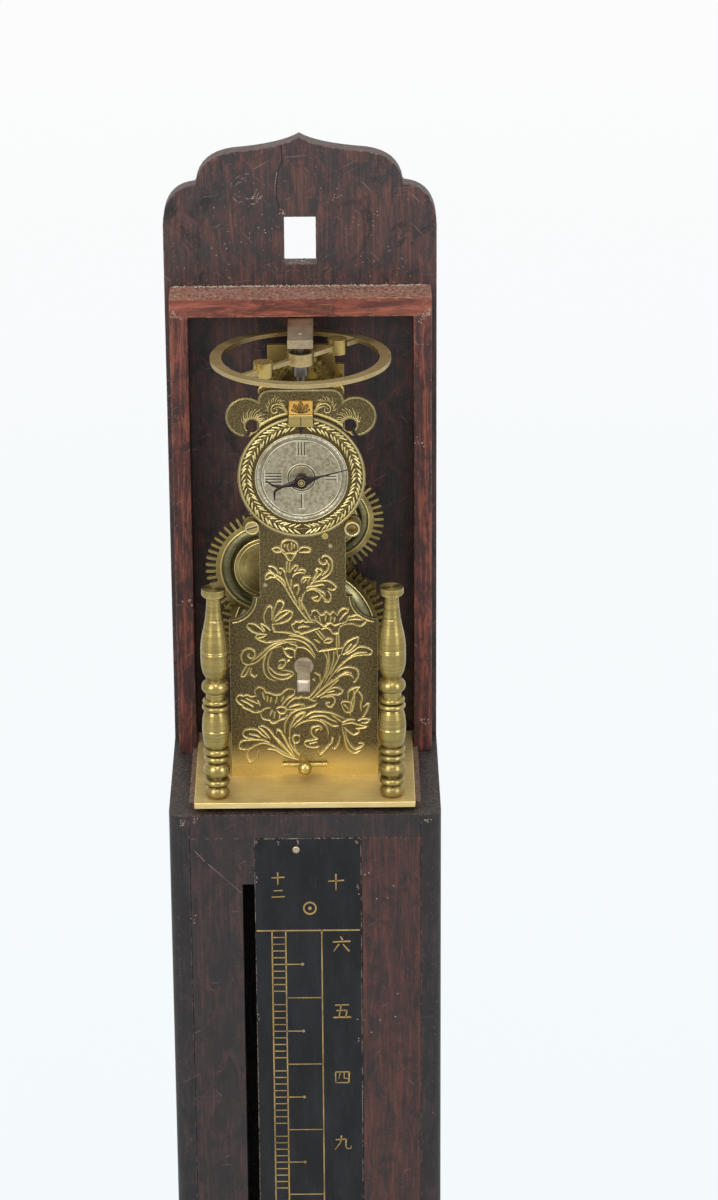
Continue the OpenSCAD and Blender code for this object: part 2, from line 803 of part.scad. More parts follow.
// A block with a sloping top, hollowed behind where it passes over the dial's rim
module index_block() {
    color(brass) difference() {
        translate([-index_w / 2, 0, base_z + index_z]) rotate([90, 0, 90])
            linear_extrude(index_w) polygon([[front_y, 0], [front_y, index_h],
                [front_y - index_d, index_h / 2], [front_y - index_d, 0]]);
        rod(0, dial_z, front_y + cut, dial_y - 0.2, dial_r + 0.2);
    }
}

module index_point() {
    color(blued) upright(front_y - index_d + 1.2, 0.5) translate([0, index_z])
        polygon([[-0.7, 0], [0, -index_point_l], [0.7, 0]]);
}

module foot_stud() {
    color(brass) difference() {
        union() {
            rod(0, stud_z, front_back_y + 0.5, front_y - 2.4, stud_r);
            translate([0, front_y - 3.1, base_z + stud_z]) sphere(1.8);
        }
        translate([-3, front_y - cross_pin_y, base_z + stud_z]) rotate([0, 90, 0])
            cylinder(h = 6, r = cross_pin_r + seat_gap);
    }
}

module foot_cross_pin() {
    color(brass) translate([-5.8, front_y - cross_pin_y, base_z + stud_z]) rotate([0, 90, 0])
        cylinder(h = 11.6, r = cross_pin_r);
}

// One casting behind the front plate: an arm beside the verge carries the crown wheel's
// front pivot, and a foot below carries the verge
potence_x = 4.6;
arm_x0 = verge_r + 0.6;
arm_x1 = 4.1;
arm_h = 1.3;
nose_y = crown_tip_y + 0.3;
nose_t = 1.3;

module potence() {
    color(brass) difference() {
        union() {
            block([-potence_x, front_back_y, base_z + potence_z - 1.6],
                [potence_x, front_back_y + 1.4, base_z + crown_z + 2]);
            block([-2.4, front_back_y + 1.3, base_z + potence_z - 1.6],
                [2.4, verge_y + 1.8, base_z + potence_z]);
            block([arm_x0, front_back_y + 1.3, base_z + crown_z - arm_h],
                [arm_x1, nose_y + nose_t, base_z + crown_z + arm_h]);
            block([-arm_h, nose_y, base_z + crown_z - arm_h],
                [arm_x0 + 0.1, nose_y + nose_t, base_z + crown_z + arm_h]);
        }
        rod(0, crown_z, nose_y + nose_t + cut, nose_y - cut, pivot_r + run_gap);
        translate([0, verge_y, base_z + potence_z - 1.1])
            cylinder(h = 1.1 + cut, r = pivot_r + run_gap);
    }
}

// A flat arm over the balance, on a narrower leg that stands on the back plate
module balance_cock() {
    color(steel) difference() {
        union() {
            block([-cock_w / 2, verge_y - cock_front_d, base_z + cock_under],
                [cock_w / 2, cock_back_y, base_z + cock_z]);
            block([-cock_leg_w / 2, cock_back_y - cock_leg_t, base_z + cock_foot_z],
                [cock_leg_w / 2, cock_back_y, base_z + cock_under + 0.1]);
        }
        translate([0, verge_y, base_z + cock_under - cut])
            cylinder(h = cock_t + 2 * cut, r = pivot_r + run_gap);
        rod(0, cock_screw_z, cock_back_y + cut, cock_back_y - cock_leg_t - cut,
            cock_screw_r + seat_gap);
    }
}

module cock_screw() {
    color(steel) difference() {
        union() {
            rod(0, cock_screw_z, back_y, cock_back_y - cock_leg_t - 0.2, cock_screw_r);
            rod(0, cock_screw_z, cock_back_y - cock_leg_t, cock_back_y - cock_leg_t - 0.9, 1.5);
        }
        upright(cock_back_y - cock_leg_t - 0.6, 1) translate([0, cock_screw_z])
            square([4, 0.4], center = true);
    }
}

// Wheel train

// One round-tipped tooth at angle a, with its root at the depth d and half the width w of
// its share of the circle
function tooth(n, m, a, d, w) = let (p = 180 / n, r = m * n / 2) [
    polar(r - d * m, a - (w + 0.06) * p), polar(r, a - w * p), polar(r + 0.6 * m, a - 0.62 * w * p),
    polar(r + 0.9 * m, a), polar(r + 0.6 * m, a + 0.62 * w * p), polar(r, a + w * p),
    polar(r - d * m, a + (w + 0.06) * p)];

// Outline of a wheel or pinion, the first tooth at angle a0
module teeth(n, m, a0, d, w) {
    polygon([for (i = [0:n - 1]) each tooth(n, m, a0 + i * 360 / n, d, w)]);
}

// Depth in modules and half width of the leaves of a pinion, and of a wheel's long slim teeth
leaf_d = 1.2;
leaf_w = 0.4;
tooth_d = 3.6;
tooth_w = 0.34;

// A wheel with a bore and two turned grooves on its front face
module wheel(x, z, y_back, t, n, m, a0, bore) {
    r = m * (n / 2 - tooth_d);
    color(brass) difference() {
        upright(y_back, t) translate([x, z]) difference() {
            teeth(n, m, a0, tooth_d, tooth_w);
            circle(bore);
        }
        for (g = [0.55, 0.82]) translate([x, y_back - t, base_z + z]) rotate([90, 0, 0])
            rotate_extrude() translate([r * g, -groove_d]) square([groove_w, groove_d + cut]);
    }
}

// An arbor with pivots at both ends and a pinion of n leaves
module pinion_arbor(x, z, pinion_y, t, n, m, a0, front) {
    color(steel) {
        rod(x, z, back_front_y - end_gap, front, train_arbor_r);
        rod(x, z, back_y, front, pivot_r);
        upright(pinion_y + end_gap, t + 2 * end_gap) translate([x, z])
            teeth(n, m, a0, leaf_d, leaf_w);
    }
}

groove_d = 0.3;
groove_w = 0.5;
barrel_pivot_r = 1;
stud_z = 3.3;
stud_r = 1.1;
cross_pin_r = 0.6;
cross_pin_y = 0.9;
clamp_d = dial_r + clamp_collar_r + 0.1;
clamp_x = clamp_d * cos(clamp_angle);
clamp_z = dial_z - clamp_d * sin(clamp_angle);
clamp_stem_r = 0.8;
clamp_hole_r = clamp_stem_r + seat_gap;
dial_pin_x = 5.8;
dial_pin_z = dial_z - sqrt(pow(dial_r + 0.45, 2) - pow(dial_pin_x, 2));
eye_x = ear_x - 1.5;
eye_z = ear_z - 2.3;
cock_screw_r = 0.7;
cock_foot_z = crown_z + 2;
cock_screw_z = (cock_foot_z + back_plate_h) / 2;
base_hole_r = 2.5;
seat_hole_r = 3.5;

angle_2 = atan2(second_z - barrel_z, second_x);
angle_3 = atan2(third_z - second_z, third_x - second_x);
angle_4 = atan2(dial_z - third_z, -third_x);

module great_wheel() {
    wheel(0, barrel_z, great_y, great_t, great_n, great_m, angle_2, arbor_r + run_gap);
    color(steel) rod(click_x, barrel_z + click_z, great_front_y + 0.1,
        click_y - click_t - 0.5, click_stud_r);
}

// The click turns on a stud of the great wheel, its nose just clear of the ratchet
click_t = 0.9;
click_y = great_front_y - 0.05;
click_x = 8.6;
click_z = 5;
click_stud_r = 0.7;

module click() {
    tip = polar(ratchet_r + 0.25, -8);
    color(steel) upright(click_y, click_t) translate([0, barrel_z]) difference() {
        union() {
            translate([click_x, click_z]) circle(1.6);
            polygon([tip, [tip[0] + 1.9, tip[1] - 0.2], [click_x + 1.5, click_z],
                [click_x - 1.4, click_z - 0.4], [tip[0] + 0.4, tip[1] + 1.6]]);
        }
        translate([click_x, click_z]) circle(click_stud_r + run_gap);
    }
}

// A bent strip on the great wheel, standing over the click's back
module click_spring() {
    color(blued) upright(great_front_y, 0.8) translate([0, barrel_z]) difference() {
        circle(12.6);
        circle(12.1);
        translate([-20, -20]) square([20, 40]);
        translate([-20, -20]) square([40, 18]);
    }
    color(blued) upright(great_front_y, 0.8) translate([12.3, barrel_z - 2.8]) circle(1.3);
}

module second_wheel() {
    wheel(second_x, second_z, second_y, wheel_t, second_n, second_m, angle_3,
        train_arbor_r + seat_gap);
}

module second_arbor() {
    pinion_arbor(second_x, second_z, great_y, great_t, pinion_two_n, great_m,
        angle_2 + 180 + 180 / pinion_two_n, front_back_y + end_gap);
    color(steel) rod(second_x, second_z, front_back_y + end_gap, front_y, pivot_r);
}

module third_wheel() {
    wheel(third_x, third_z, third_y, wheel_t, third_n, third_m, angle_4,
        train_arbor_r + seat_gap);
}

module third_arbor() {
    pinion_arbor(third_x, third_z, second_y, wheel_t, pinion_three_n, second_m,
        angle_3 + 180 + 180 / pinion_three_n, front_back_y + end_gap);
    color(steel) rod(third_x, third_z, front_back_y + end_gap, front_y, pivot_r);
}

module fourth_wheel() {
    wheel(0, dial_z, fourth_y, wheel_t, fourth_n, fourth_m, 90, train_arbor_r + seat_gap);
}

module dial_arbor() {
    pinion_arbor(0, dial_z, third_y, wheel_t, pinion_four_n, third_m,
        angle_4 + 180 + 180 / pinion_four_n, hand_y - hand_t - 0.5);
}

// A tapered hand with a round boss and a forked, curled tail
module blade(a, b, ra, rb) {
    hull() {
        translate(a) circle(ra, $fn = 24);
        translate(b) circle(rb, $fn = 24);
    }
}

module dial_hand() {
    color(blued) upright(hand_y, hand_t) translate([0, dial_z]) rotate(hand_angle)
        difference() {
            union() {
                circle(hand_boss_r);
                blade([0, 0], [hand_l - 0.2, 0], 1.1, 0.2);
                blade([0, 0], [-tail_l * 0.6, -0.8], 1.1, 0.5);
                blade([-tail_l * 0.55, -0.7], [-tail_l + 0.2, -2], 0.5, 0.2);
                blade([-tail_l * 0.55, -0.7], [-tail_l * 0.9, 2.6], 0.5, 0.25);
            }
            circle(train_arbor_r + seat_gap);
        }
}

// The crown wheel is a cup with sloping teeth on its front edge
module crown_wheel() {
    color(brass) difference() {
        rod(0, crown_z, crown_back_y, crown_tip_y, crown_r);
        rod(0, crown_z, crown_back_y - crown_web_t, crown_tip_y - cut, crown_r - 0.9);
        rod(0, crown_z, crown_back_y + cut, crown_tip_y - cut, train_arbor_r + seat_gap);
        for (i = [0:crown_n - 1]) translate([0, 0, base_z + crown_z])
            rotate([0, (i + 0.5) * 360 / crown_n, 0]) translate([0, crown_tip_y, 0])
                linear_extrude(crown_r + cut) polygon([[-1.05, -cut], [-0.15, 1.7],
                    [0.15, 1.7], [0.85, -cut]]);
    }
}

module crown_arbor() {
    color(steel) {
        rod(0, crown_z, back_front_y - end_gap, crown_back_y - crown_web_t - 0.3,
            train_arbor_r);
        rod(0, crown_z, back_y, nose_y + 0.2, pivot_r);
        upright(fourth_y + end_gap, wheel_t + 2 * end_gap) translate([0, crown_z])
            teeth(pinion_crown_n, fourth_m, 270 + 180 / pinion_crown_n, leaf_d, leaf_w);
    }
}

// Escapement

collet_r = 1.9;
collet_h = 3;

module verge() {
    color(blued) translate([0, verge_y, base_z]) {
        translate([0, 0, potence_z + 0.3])
            cylinder(h = cock_under - potence_z - 0.6, r = verge_r);
        translate([0, 0, potence_z - 0.8])
            cylinder(h = cock_z - potence_z + 0.8 - 0.3, r = pivot_r);
        translate([0, 0, balance_z - hub_drop - collet_h]) cylinder(h = collet_h, r = collet_r);
        translate([0, 0, balance_z + hub_floor - hub_drop]) cylinder(h = 1.5, r = collet_r - 0.2);
        for (s = [-1, 1]) translate([0, 0, crown_z + s * (crown_r - 0.9) - 1])
            rotate(90 + s * 45) translate([0, -0.25, 0]) cube([pallet_r, 0.5, 2]);
    }
}

hub_drop = 0.9;
hub_floor = 0.8;
hub_wall = 0.6;

// A flat ring, one bar across it and a hub turned as an open cup
module balance_wheel() {
    color(brass) translate([0, verge_y, base_z + balance_z]) difference() {
        union() {
            difference() {
                cylinder(h = balance_t, r = balance_r, $fn = 96);
                translate([0, 0, -cut])
                    cylinder(h = balance_t + 2 * cut, r = balance_r - balance_w, $fn = 96);
            }
            rotate(bar_angle) translate([-balance_r + balance_w / 2, -bar_w / 2, 0])
                cube([2 * balance_r - balance_w, bar_w, balance_t]);
            translate([0, 0, -hub_drop]) cylinder(h = hub_h, r = hub_r);
        }
        translate([0, 0, -hub_drop - cut]) cylinder(h = hub_h + 2 * cut, r = verge_r + seat_gap);
        translate([0, 0, hub_floor - hub_drop]) cylinder(h = hub_h + cut, r = hub_r - hub_wall);
    }
}

// A drum that sits astride the bar
module rate_weight(side) {
    color(brass) translate([0, verge_y, base_z + balance_z]) rotate(bar_angle)
        translate([side * rate_x, 0, -rate_drop]) difference() {
            cylinder(h = rate_h, r = rate_r);
            translate([-rate_r - cut, -bar_w / 2 - run_gap, -cut]) cube([2 * rate_r + 2 * cut,
                bar_w + 2 * run_gap, balance_t + rate_drop + run_gap + cut]);
        }
}

module rate_weight_left() {
    rate_weight(-1);
}

module rate_weight_right() {
    rate_weight(1);
}

// Winding

module barrel() {
    color(brass) difference() {
        union() {
            rod(0, barrel_z, barrel_back_y, barrel_front_y, barrel_r);
            rod(0, barrel_z, barrel_back_y, barrel_back_y - flange_t, flange_r);
            rod(0, barrel_z, barrel_front_y + flange_t, barrel_front_y, flange_r);
        }
        rod(0, barrel_z, barrel_back_y + cut, barrel_front_y - cut, arbor_r + seat_gap);
    }
}

module winding_arbor() {
    color(steel) {
        rod(0, barrel_z, back_y, front_y, barrel_pivot_r);
        rod(0, barrel_z, back_front_y - end_gap, front_y, arbor_r);
        rod(0, barrel_z, back_front_y - end_gap, great_y + end_gap, 3);
        rod(0, barrel_z, barrel_front_y - seat_gap, front_y - 0.3, arbor_front_r);
        difference() {
            translate([-square_w / 2, front_y - square_l, base_z + barrel_z - square_w / 2])
                cube([square_w, square_l, square_w]);
            for (a = [0:90:270]) translate([0, front_y - square_l, base_z + barrel_z])
                rotate([0, a, 0]) translate([-square_w, 0, square_w / 2 - 0.5])
                    rotate([45, 0, 0]) cube([2 * square_w, 2, 2]);
        }
    }
}

module ratchet_wheel() {
    color(steel) upright(ratchet_y, ratchet_t) translate([0, barrel_z]) difference() {
        polygon([for (i = [0:ratchet_n - 1]) each [polar(ratchet_r, i * 360 / ratchet_n),
            polar(ratchet_r - 0.9, i * 360 / ratchet_n + 2)]]);
        circle(arbor_r + seat_gap);
    }
}

// Weight and cord

hook_r = 2;
hook_z = weight_top + hook_r;
corner_r = 2;

module weight_body() {
    color(brass) {
        translate([cord_x, cord_y, weight_z]) linear_extrude(weight_h) {
            square([weight_w - 2 * corner_r, weight_w], center = true);
            square([weight_w, weight_w - 2 * corner_r], center = true);
            for (x = [-1, 1]) for (y = [-1, 1]) translate([x, y] * (weight_w / 2 - corner_r))
                circle(corner_r);
        }
        translate([cord_x, cord_y, hook_z]) rotate([90, 0, 0]) rotate_extrude()
            translate([hook_r, 0]) circle(hook_wire_r, $fn = 24);
    }
}

weight_front_y = cord_y - weight_w / 2;
pointer_y = scale_y - 1.6;
pointer_end_x = scale_left + pointer_reach;

// A flat shank through the slot, bent over the hour scale to a point
module weight_pointer() {
    color(steel) {
        block([slot_mid_x - pointer_t / 2, pointer_y - 0.8, pointer_z - pointer_h / 2],
            [slot_mid_x + pointer_t / 2, weight_front_y, pointer_z + pointer_h / 2]);
        translate([0, pointer_y, pointer_z]) rotate([90, 0, 0]) linear_extrude(0.8)
            polygon([[slot_mid_x, -pointer_h / 2], [pointer_end_x, 0],
                [slot_mid_x, pointer_h / 2]]);
    }
}

module weight_cord() {
    low = hook_z + hook_r + hook_wire_r;
    color(cord_brown) translate([cord_x, cord_y, low])
        cylinder(h = base_z + barrel_z - low, r = cord_r, $fn = 24);
}

// Cord wound on the barrel, a helix towards the great wheel from the point where it leaves
turn_pitch = 2 * cord_r + cord_gap;
turn_steps = 24;
turn_sides = 6;
turn_last = cord_turns_n * turn_steps;

function turn_point(i) = let (a = 180 - i * 360 / turn_steps)
    [turn_r * cos(a), cord_y + turn_pitch * i / turn_steps, base_z + barrel_z + turn_r * sin(a)];

function turn_ring(i) = let (a = 180 - i * 360 / turn_steps, c = turn_point(i))
    [for (k = [0:turn_sides - 1]) let (b = k * 360 / turn_sides)
        c + (cord_r - seat_gap) * [cos(b) * cos(a), sin(b), cos(b) * sin(a)]];

module cord_turns() {
    points = [for (i = [0:turn_last]) each turn_ring(i)];
    gaps = [for (i = [0:turn_last - 13]) for (j = [i + 12:turn_last])
        norm(turn_point(j) - turn_point(i)) - 2 * cord_r];
    echo(cord_turns_least_gap = min(gaps));
    sides = [for (i = [0:turn_last - 1]) for (k = [0:turn_sides - 1])
        let (n = (k + 1) % turn_sides, a = i * turn_sides, b = a + turn_sides)
            each [[a + k, b + k, b + n], [a + k, b + n, a + n]]];
    end = turn_last * turn_sides;
    caps = concat([for (k = [1:turn_sides - 2]) [0, k, k + 1]],
        [for (k = [1:turn_sides - 2]) [end, end + k + 1, end + k]]);
    color(cord_brown) polyhedron(points, concat(sides, caps));
}

backboard();
hood_rail_left();
hood_rail_right();
hood_rail_top();
trunk_side_left();
trunk_side_right();
trunk_stile_left();
trunk_stile_right();
trunk_rail_top();
trunk_rail_low();
scale_batten();
seat_board();
drawer_divider();
bottom_board();
scale_board();
drawer_front();
drawer_box();
drawer_knob();
winding_key();
base_plate();
front_plate();
back_plate();
plate_pillars();
column_left();
column_right();
dial_plate();
chapter_disc();
dial_clamp_screw();
dial_clamp_collar();
dial_pin();
index_block();
index_point();
foot_stud();
foot_cross_pin();
potence();
balance_cock();
cock_screw();
barrel();
winding_arbor();
ratchet_wheel();
great_wheel();
click();
click_spring();
second_wheel();
second_arbor();
third_wheel();
third_arbor();
fourth_wheel();
dial_arbor();
dial_hand();
crown_wheel();
crown_arbor();
verge();
balance_wheel();
rate_weight_left();
rate_weight_right();
weight_body();
weight_pointer();
weight_cord();
cord_turns();
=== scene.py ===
# %% [markdown]
# # A Japanese pillar clock in Blender
# A pillar clock hangs on a house post. A brass verge movement stands at the top of a
# narrow lacquered case, and its driving weight falls behind a tall scale, carrying the
# pointer that shows the hour. The solids come from the part's own CAD model, in metres,
# so this script only adds what a maker adds last: finishes, chasing, engraving, gilding.

# %% Load the clock
import functools
import math
import random
import bpy
import numpy as np
from mathutils import Matrix, Vector


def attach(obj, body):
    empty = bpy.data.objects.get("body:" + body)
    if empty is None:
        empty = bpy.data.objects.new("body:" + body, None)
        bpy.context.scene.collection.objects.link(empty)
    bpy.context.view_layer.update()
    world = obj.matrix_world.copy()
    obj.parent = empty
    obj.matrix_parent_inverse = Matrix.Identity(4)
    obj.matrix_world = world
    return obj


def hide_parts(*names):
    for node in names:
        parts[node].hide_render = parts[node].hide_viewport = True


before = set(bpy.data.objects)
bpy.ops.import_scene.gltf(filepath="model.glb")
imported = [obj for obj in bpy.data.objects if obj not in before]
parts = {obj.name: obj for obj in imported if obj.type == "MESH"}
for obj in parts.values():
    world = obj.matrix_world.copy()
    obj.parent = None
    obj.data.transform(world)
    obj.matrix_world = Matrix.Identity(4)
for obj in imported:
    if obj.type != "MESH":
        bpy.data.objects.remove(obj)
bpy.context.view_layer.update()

# %% [markdown]
# ## Measures
# A clockmaker thinks in millimetres, with heights taken from the base plate on which the
# movement stands. One function turns such a place into Blender's metres.

# %% Millimetres above the base plate
MM = 0.001
BASE_Z = -135.0
BOARD_Y, RAIL_Y = -5.0, -16.0
FRONT_Y, DIAL_FACE_Y, CHAPTER_FACE_Y = -37.5, -38.5, -38.8
SCREW_Y, COLLAR_Y, BLOCK_Y = FRONT_Y - 2.2, -41.1, FRONT_Y - 4.0
HAND_Y = -42.1
TRUNK_Y, SCALE_Y = -56.0, -56.2
DIAL_Z, DIAL_R = 82.7, 16.2
RAIL_TOP_Z, SLOT_SILL_Z = 123.0, 128.75


def place(x, y, z):
    return Vector((x, y, z + BASE_Z)) * MM


print("front plate's face stands", -FRONT_Y, "mm in front of the back")

# %% [markdown]
# ## Viewpoint of the photograph
# The photograph looks down on the movement by 21.5 degrees from a metre away, through a
# lens of about 82 mm for a frame 24 mm high. These values come from solving the camera
# from the clock's own straight edges and circles. They tell where the photograph shows a
# place on the clock, and the camera at the end stands at the same point.

# %% Viewpoint
FRAME_W, FRAME_H = 718, 1200
SENSOR_MM, LENS_MM = 24, 81.82
PITCH, YAW, ROLL = (math.radians(a) for a in (21.527, 0.319, -0.373))
right, forward = Vector((1, 0, 0)), Vector((0, math.cos(PITCH), -math.sin(PITCH)))
above = Vector((0, math.sin(PITCH), math.cos(PITCH)))
rolled_right = right * math.cos(ROLL) + above * math.sin(ROLL)
rolled_up = above * math.cos(ROLL) - right * math.sin(ROLL)
yaw = Matrix.Rotation(-YAW, 3, "Z")
axes = Matrix([yaw @ rolled_right, yaw @ rolled_up, -(yaw @ forward)])
viewpoint = yaw @ Vector((14.56, -1015.12, 298.32)) + Vector((0, 3, 0))


def in_photo(x, y, z):
    """Column and row at which the photograph shows a place on the clock."""
    across, up, back = axes @ (place(x, y, z) / MM - viewpoint)
    zoom = FRAME_H * LENS_MM / SENSOR_MM / -back
    return FRAME_W / 2 + across * zoom, FRAME_H / 2 - up * zoom


print("photographed from", [round(v, 1) for v in viewpoint], "mm")

# %% [markdown]
# ## Colours and nodes
# Colours are picked as screen colours, and Blender's shaders want linear light, so
# one function converts them. Another adds a shader node with its settings and links, and
# gives the output that the next node needs, so a finish reads from the inside outwards.
# Edges wear first, and on brass their pale colour is partly a painted highlight. They are
# found by comparing normals: a rounded corner's normal differs from the true one only
# near an edge.

# %% Helpers for finishes
def linear(hex_colour):
    channels = [int(hex_colour[i:i + 2], 16) / 255 for i in (1, 3, 5)]
    return tuple(c / 12.92 if c <= 0.04045 else ((c + 0.055) / 1.055) ** 2.4
                 for c in channels) + (1.0,)


def set_inputs(node, inputs):
    for name, value in inputs.items():
        if isinstance(value, bpy.types.NodeSocket):
            node.id_data.links.new(value, node.inputs[name])
        else:
            node.inputs[name].default_value = value


def add_node(tree, kind, inputs, out=0, **settings):
    node = tree.nodes.new("ShaderNode" + kind)
    for name, value in settings.items():
        setattr(node, name, value)
    set_inputs(node, inputs)
    return node.outputs[out]


def start_finish(name, **values):
    finish = bpy.data.materials.new(name)
    finish.use_nodes = True
    shader = finish.node_tree.nodes["Principled BSDF"]
    set_inputs(shader, {key.replace("_", " "): value for key, value in values.items()})
    add = functools.partial(add_node, finish.node_tree)
    mm = add("Mapping", {"Vector": add("TexCoord", {}, "Object"), "Scale": (1000, 1000, 1000)})
    return finish, shader, add, mm


def spots(across, along=None, axis=2):
    """Scale for marks across mm wide, and along mm long on one axis."""
    scale = [1 / across] * 3
    scale[axis] = 1 / (along or across)
    return scale


def sharp_edges(add, radius_mm, full, amount=1.0):
    """The amount on a sharp edge and 0 away from it; full is the likeness for all of it."""
    rounded = add("Bevel", {"Radius": radius_mm * MM}, samples=6)
    alike = add("VectorMath", {0: rounded, 1: add("NewGeometry", {}, "Normal")}, "Value",
                operation="DOT_PRODUCT")
    return add("MapRange", {"Value": alike, "From Min": 0.995, "From Max": full,
                            "To Max": amount})


print("black #000000 is", linear("#000000")[:3], "and white is", linear("#FFFFFF")[:3])

# %% [markdown]
# ## Old lacquered wood
# The case is a dense reddish hardwood under a century of dark lacquer. The lacquer is
# nearly black where it survives and red-brown where hands have worn it, in ragged patches
# a little longer along the grain. Pale specks and short scratches lie over both, sharp
# edges have lost the lacquer and show chips, and dust lies on what faces up. Noise
# stretched along the grain gives the patches. The colours lie one over another, each with
# its own amount, in the order in which they came: wear first, dust last.

# %% Wood finish
def old_wood(name, dark, warm, vivid, chip="#9A8072", wear=0.5, rough=0.4, dust=0.35, axis=2,
             edge=0.7, black=0.5, streak=0.4, specked=0.5):
    finish, shader, add, mm = start_finish(name, IOR=1.5, Specular_IOR_Level=0.4)
    grain, streaks, patches, blots, crumbs, specks = (
        add("TexNoise", {"Vector": add("Mapping", {"Vector": mm,
                                                   "Scale": spots(across, along, axis)}),
                         "Scale": 1.0, "Detail": detail, "Roughness": 0.7,
                         "Distortion": twist})
        for across, along, detail, twist in (
            (0.42, 14, 4, 0.3), (1.3, 16, 8, 1.1), (6, 13, 9, 1.4), (11, 15, 8, 1.2),
            (1.0, 2.2, 4, 0.4), (0.7, 0.9, 3, 0.0)))
    worn = add("Math", {0: streaks, 1: streak, 2: patches}, operation="MULTIPLY_ADD")
    middle = 0.5 + 0.5 * streak + 0.18 - 0.36 * wear
    worn = add("MapRange", {"Value": worn, "From Min": middle - 0.09, "From Max": middle + 0.1})
    hot = add("Math", {0: add("MapRange", {"Value": streaks, "From Min": 0.5, "From Max": 0.6}),
                       1: worn}, operation="MULTIPLY")
    layers = [(worn, warm), (hot, vivid)]
    for noise, low, high, amount, tone in ((blots, 0.56, 0.64, black, "#0E0A0B"),
                                           (grain, 0.5, 0.66, 0.5, "#0F0A0A"),
                                           (specks, 0.64, 0.72, specked, "#8D7D74")):
        layers.append((add("MapRange", {"Value": noise, "From Min": low, "From Max": high,
                                        "To Max": amount}), tone))
    # scratches: short, thin noise laid at three slants
    for slant, long, amount in ((0.5, 9, 0.4), (-0.85, 7, 0.35), (0.08, 12, 0.3)):
        across = add("Mapping", {"Vector": mm, "Rotation": (0, slant, 0)})
        scratch = add("TexNoise", {"Vector": add("Mapping", {"Vector": across,
                      "Scale": spots(0.4, long, 0)}), "Scale": 1.0, "Detail": 2.0,
                      "Distortion": 0.3})
        layers.append((add("MapRange", {"Value": scratch, "From Min": 0.72, "From Max": 0.77,
                                        "To Max": amount}), chip))
    chipped = add("MapRange", {"Value": crumbs, "From Min": 0.5, "From Max": 0.58,
                               "To Max": edge})
    layers.append((add("Math", {0: sharp_edges(add, 0.6, 0.87), 1: chipped},
                       operation="MULTIPLY"), chip))
    up = add("SeparateXYZ", {"Vector": add("NewGeometry", {}, "Normal")}, "Z")
    up = add("MapRange", {"Value": up, "From Min": 0.6, "From Max": 0.95, "To Max": dust})
    lying = add("Math", {0: up, 1: add("MapRange", {"Value": specks, "From Min": 0.4,
                                                    "From Max": 0.62})}, operation="MULTIPLY")
    layers.append((lying, "#A4917F"))
    body = linear(dark)
    for amount, tone in layers:
        body = add("Mix", {0: amount, 6: body, 7: linear(tone)}, 2, data_type="RGBA")
    sheen = add("MapRange", {"Value": streaks, "From Min": 0.35, "From Max": 0.65,
                             "To Min": rough, "To Max": rough + 0.22})
    height = add("Math", {0: grain, 1: 0.5, 2: streaks}, operation="MULTIPLY_ADD")
    set_inputs(shader, {
        "Base Color": body,
        "Roughness": add("Math", {0: lying, 1: 0.4, 2: sheen}, operation="MULTIPLY_ADD"),
        "Normal": add("Bump", {"Height": height, "Distance": 0.1 * MM, "Strength": 0.5})})
    return finish


board_wood = old_wood("dark lacquered hardwood, backboard", "#2B2526", "#462E2B", "#573731",
                      wear=0.5, black=0.75, dust=0.15, streak=0.3)
rail_wood = old_wood("worn red lacquered hardwood, rails", "#331A18", "#552A24", "#78402F",
                     "#B39A84", wear=0.5, rough=0.45, streak=0.9)
top_rail_wood = old_wood("worn red lacquered hardwood, top rail", "#4C241D", "#713A2C",
                         "#8A4C3A", "#B39A84", wear=0.7, rough=0.45, axis=0, dust=0.6,
                         black=0.3, streak=0.7)
side_wood = old_wood("dark lacquered hardwood, trunk sides", "#171416", "#272024", "#362624",
                     wear=0.35, dust=0.15, edge=0.3, streak=0.25, specked=0.25)
panel_wood = old_wood("red-brown lacquered hardwood, trunk front", "#1D1819", "#2F2120",
                      "#3D2825", "#A08A7B", wear=0.5, rough=0.36, dust=0.15,
                      edge=0.25, streak=0.25, specked=0.25)
warm_panel_wood = old_wood("red-brown lacquered hardwood, right stile", "#1F1718", "#3B221E",
                           "#4E2A23", "#A08A7B", wear=0.6, rough=0.36, dust=0.15, edge=0.25,
                           streak=0.25, specked=0.25)
inside_wood = old_wood("bare dark hardwood, inside", "#3A2A25", "#57402F", "#6B4C38",
                       wear=0.6, rough=0.6)
print("wood finishes:", [m.name for m in bpy.data.materials if "hardwood" in m.name])
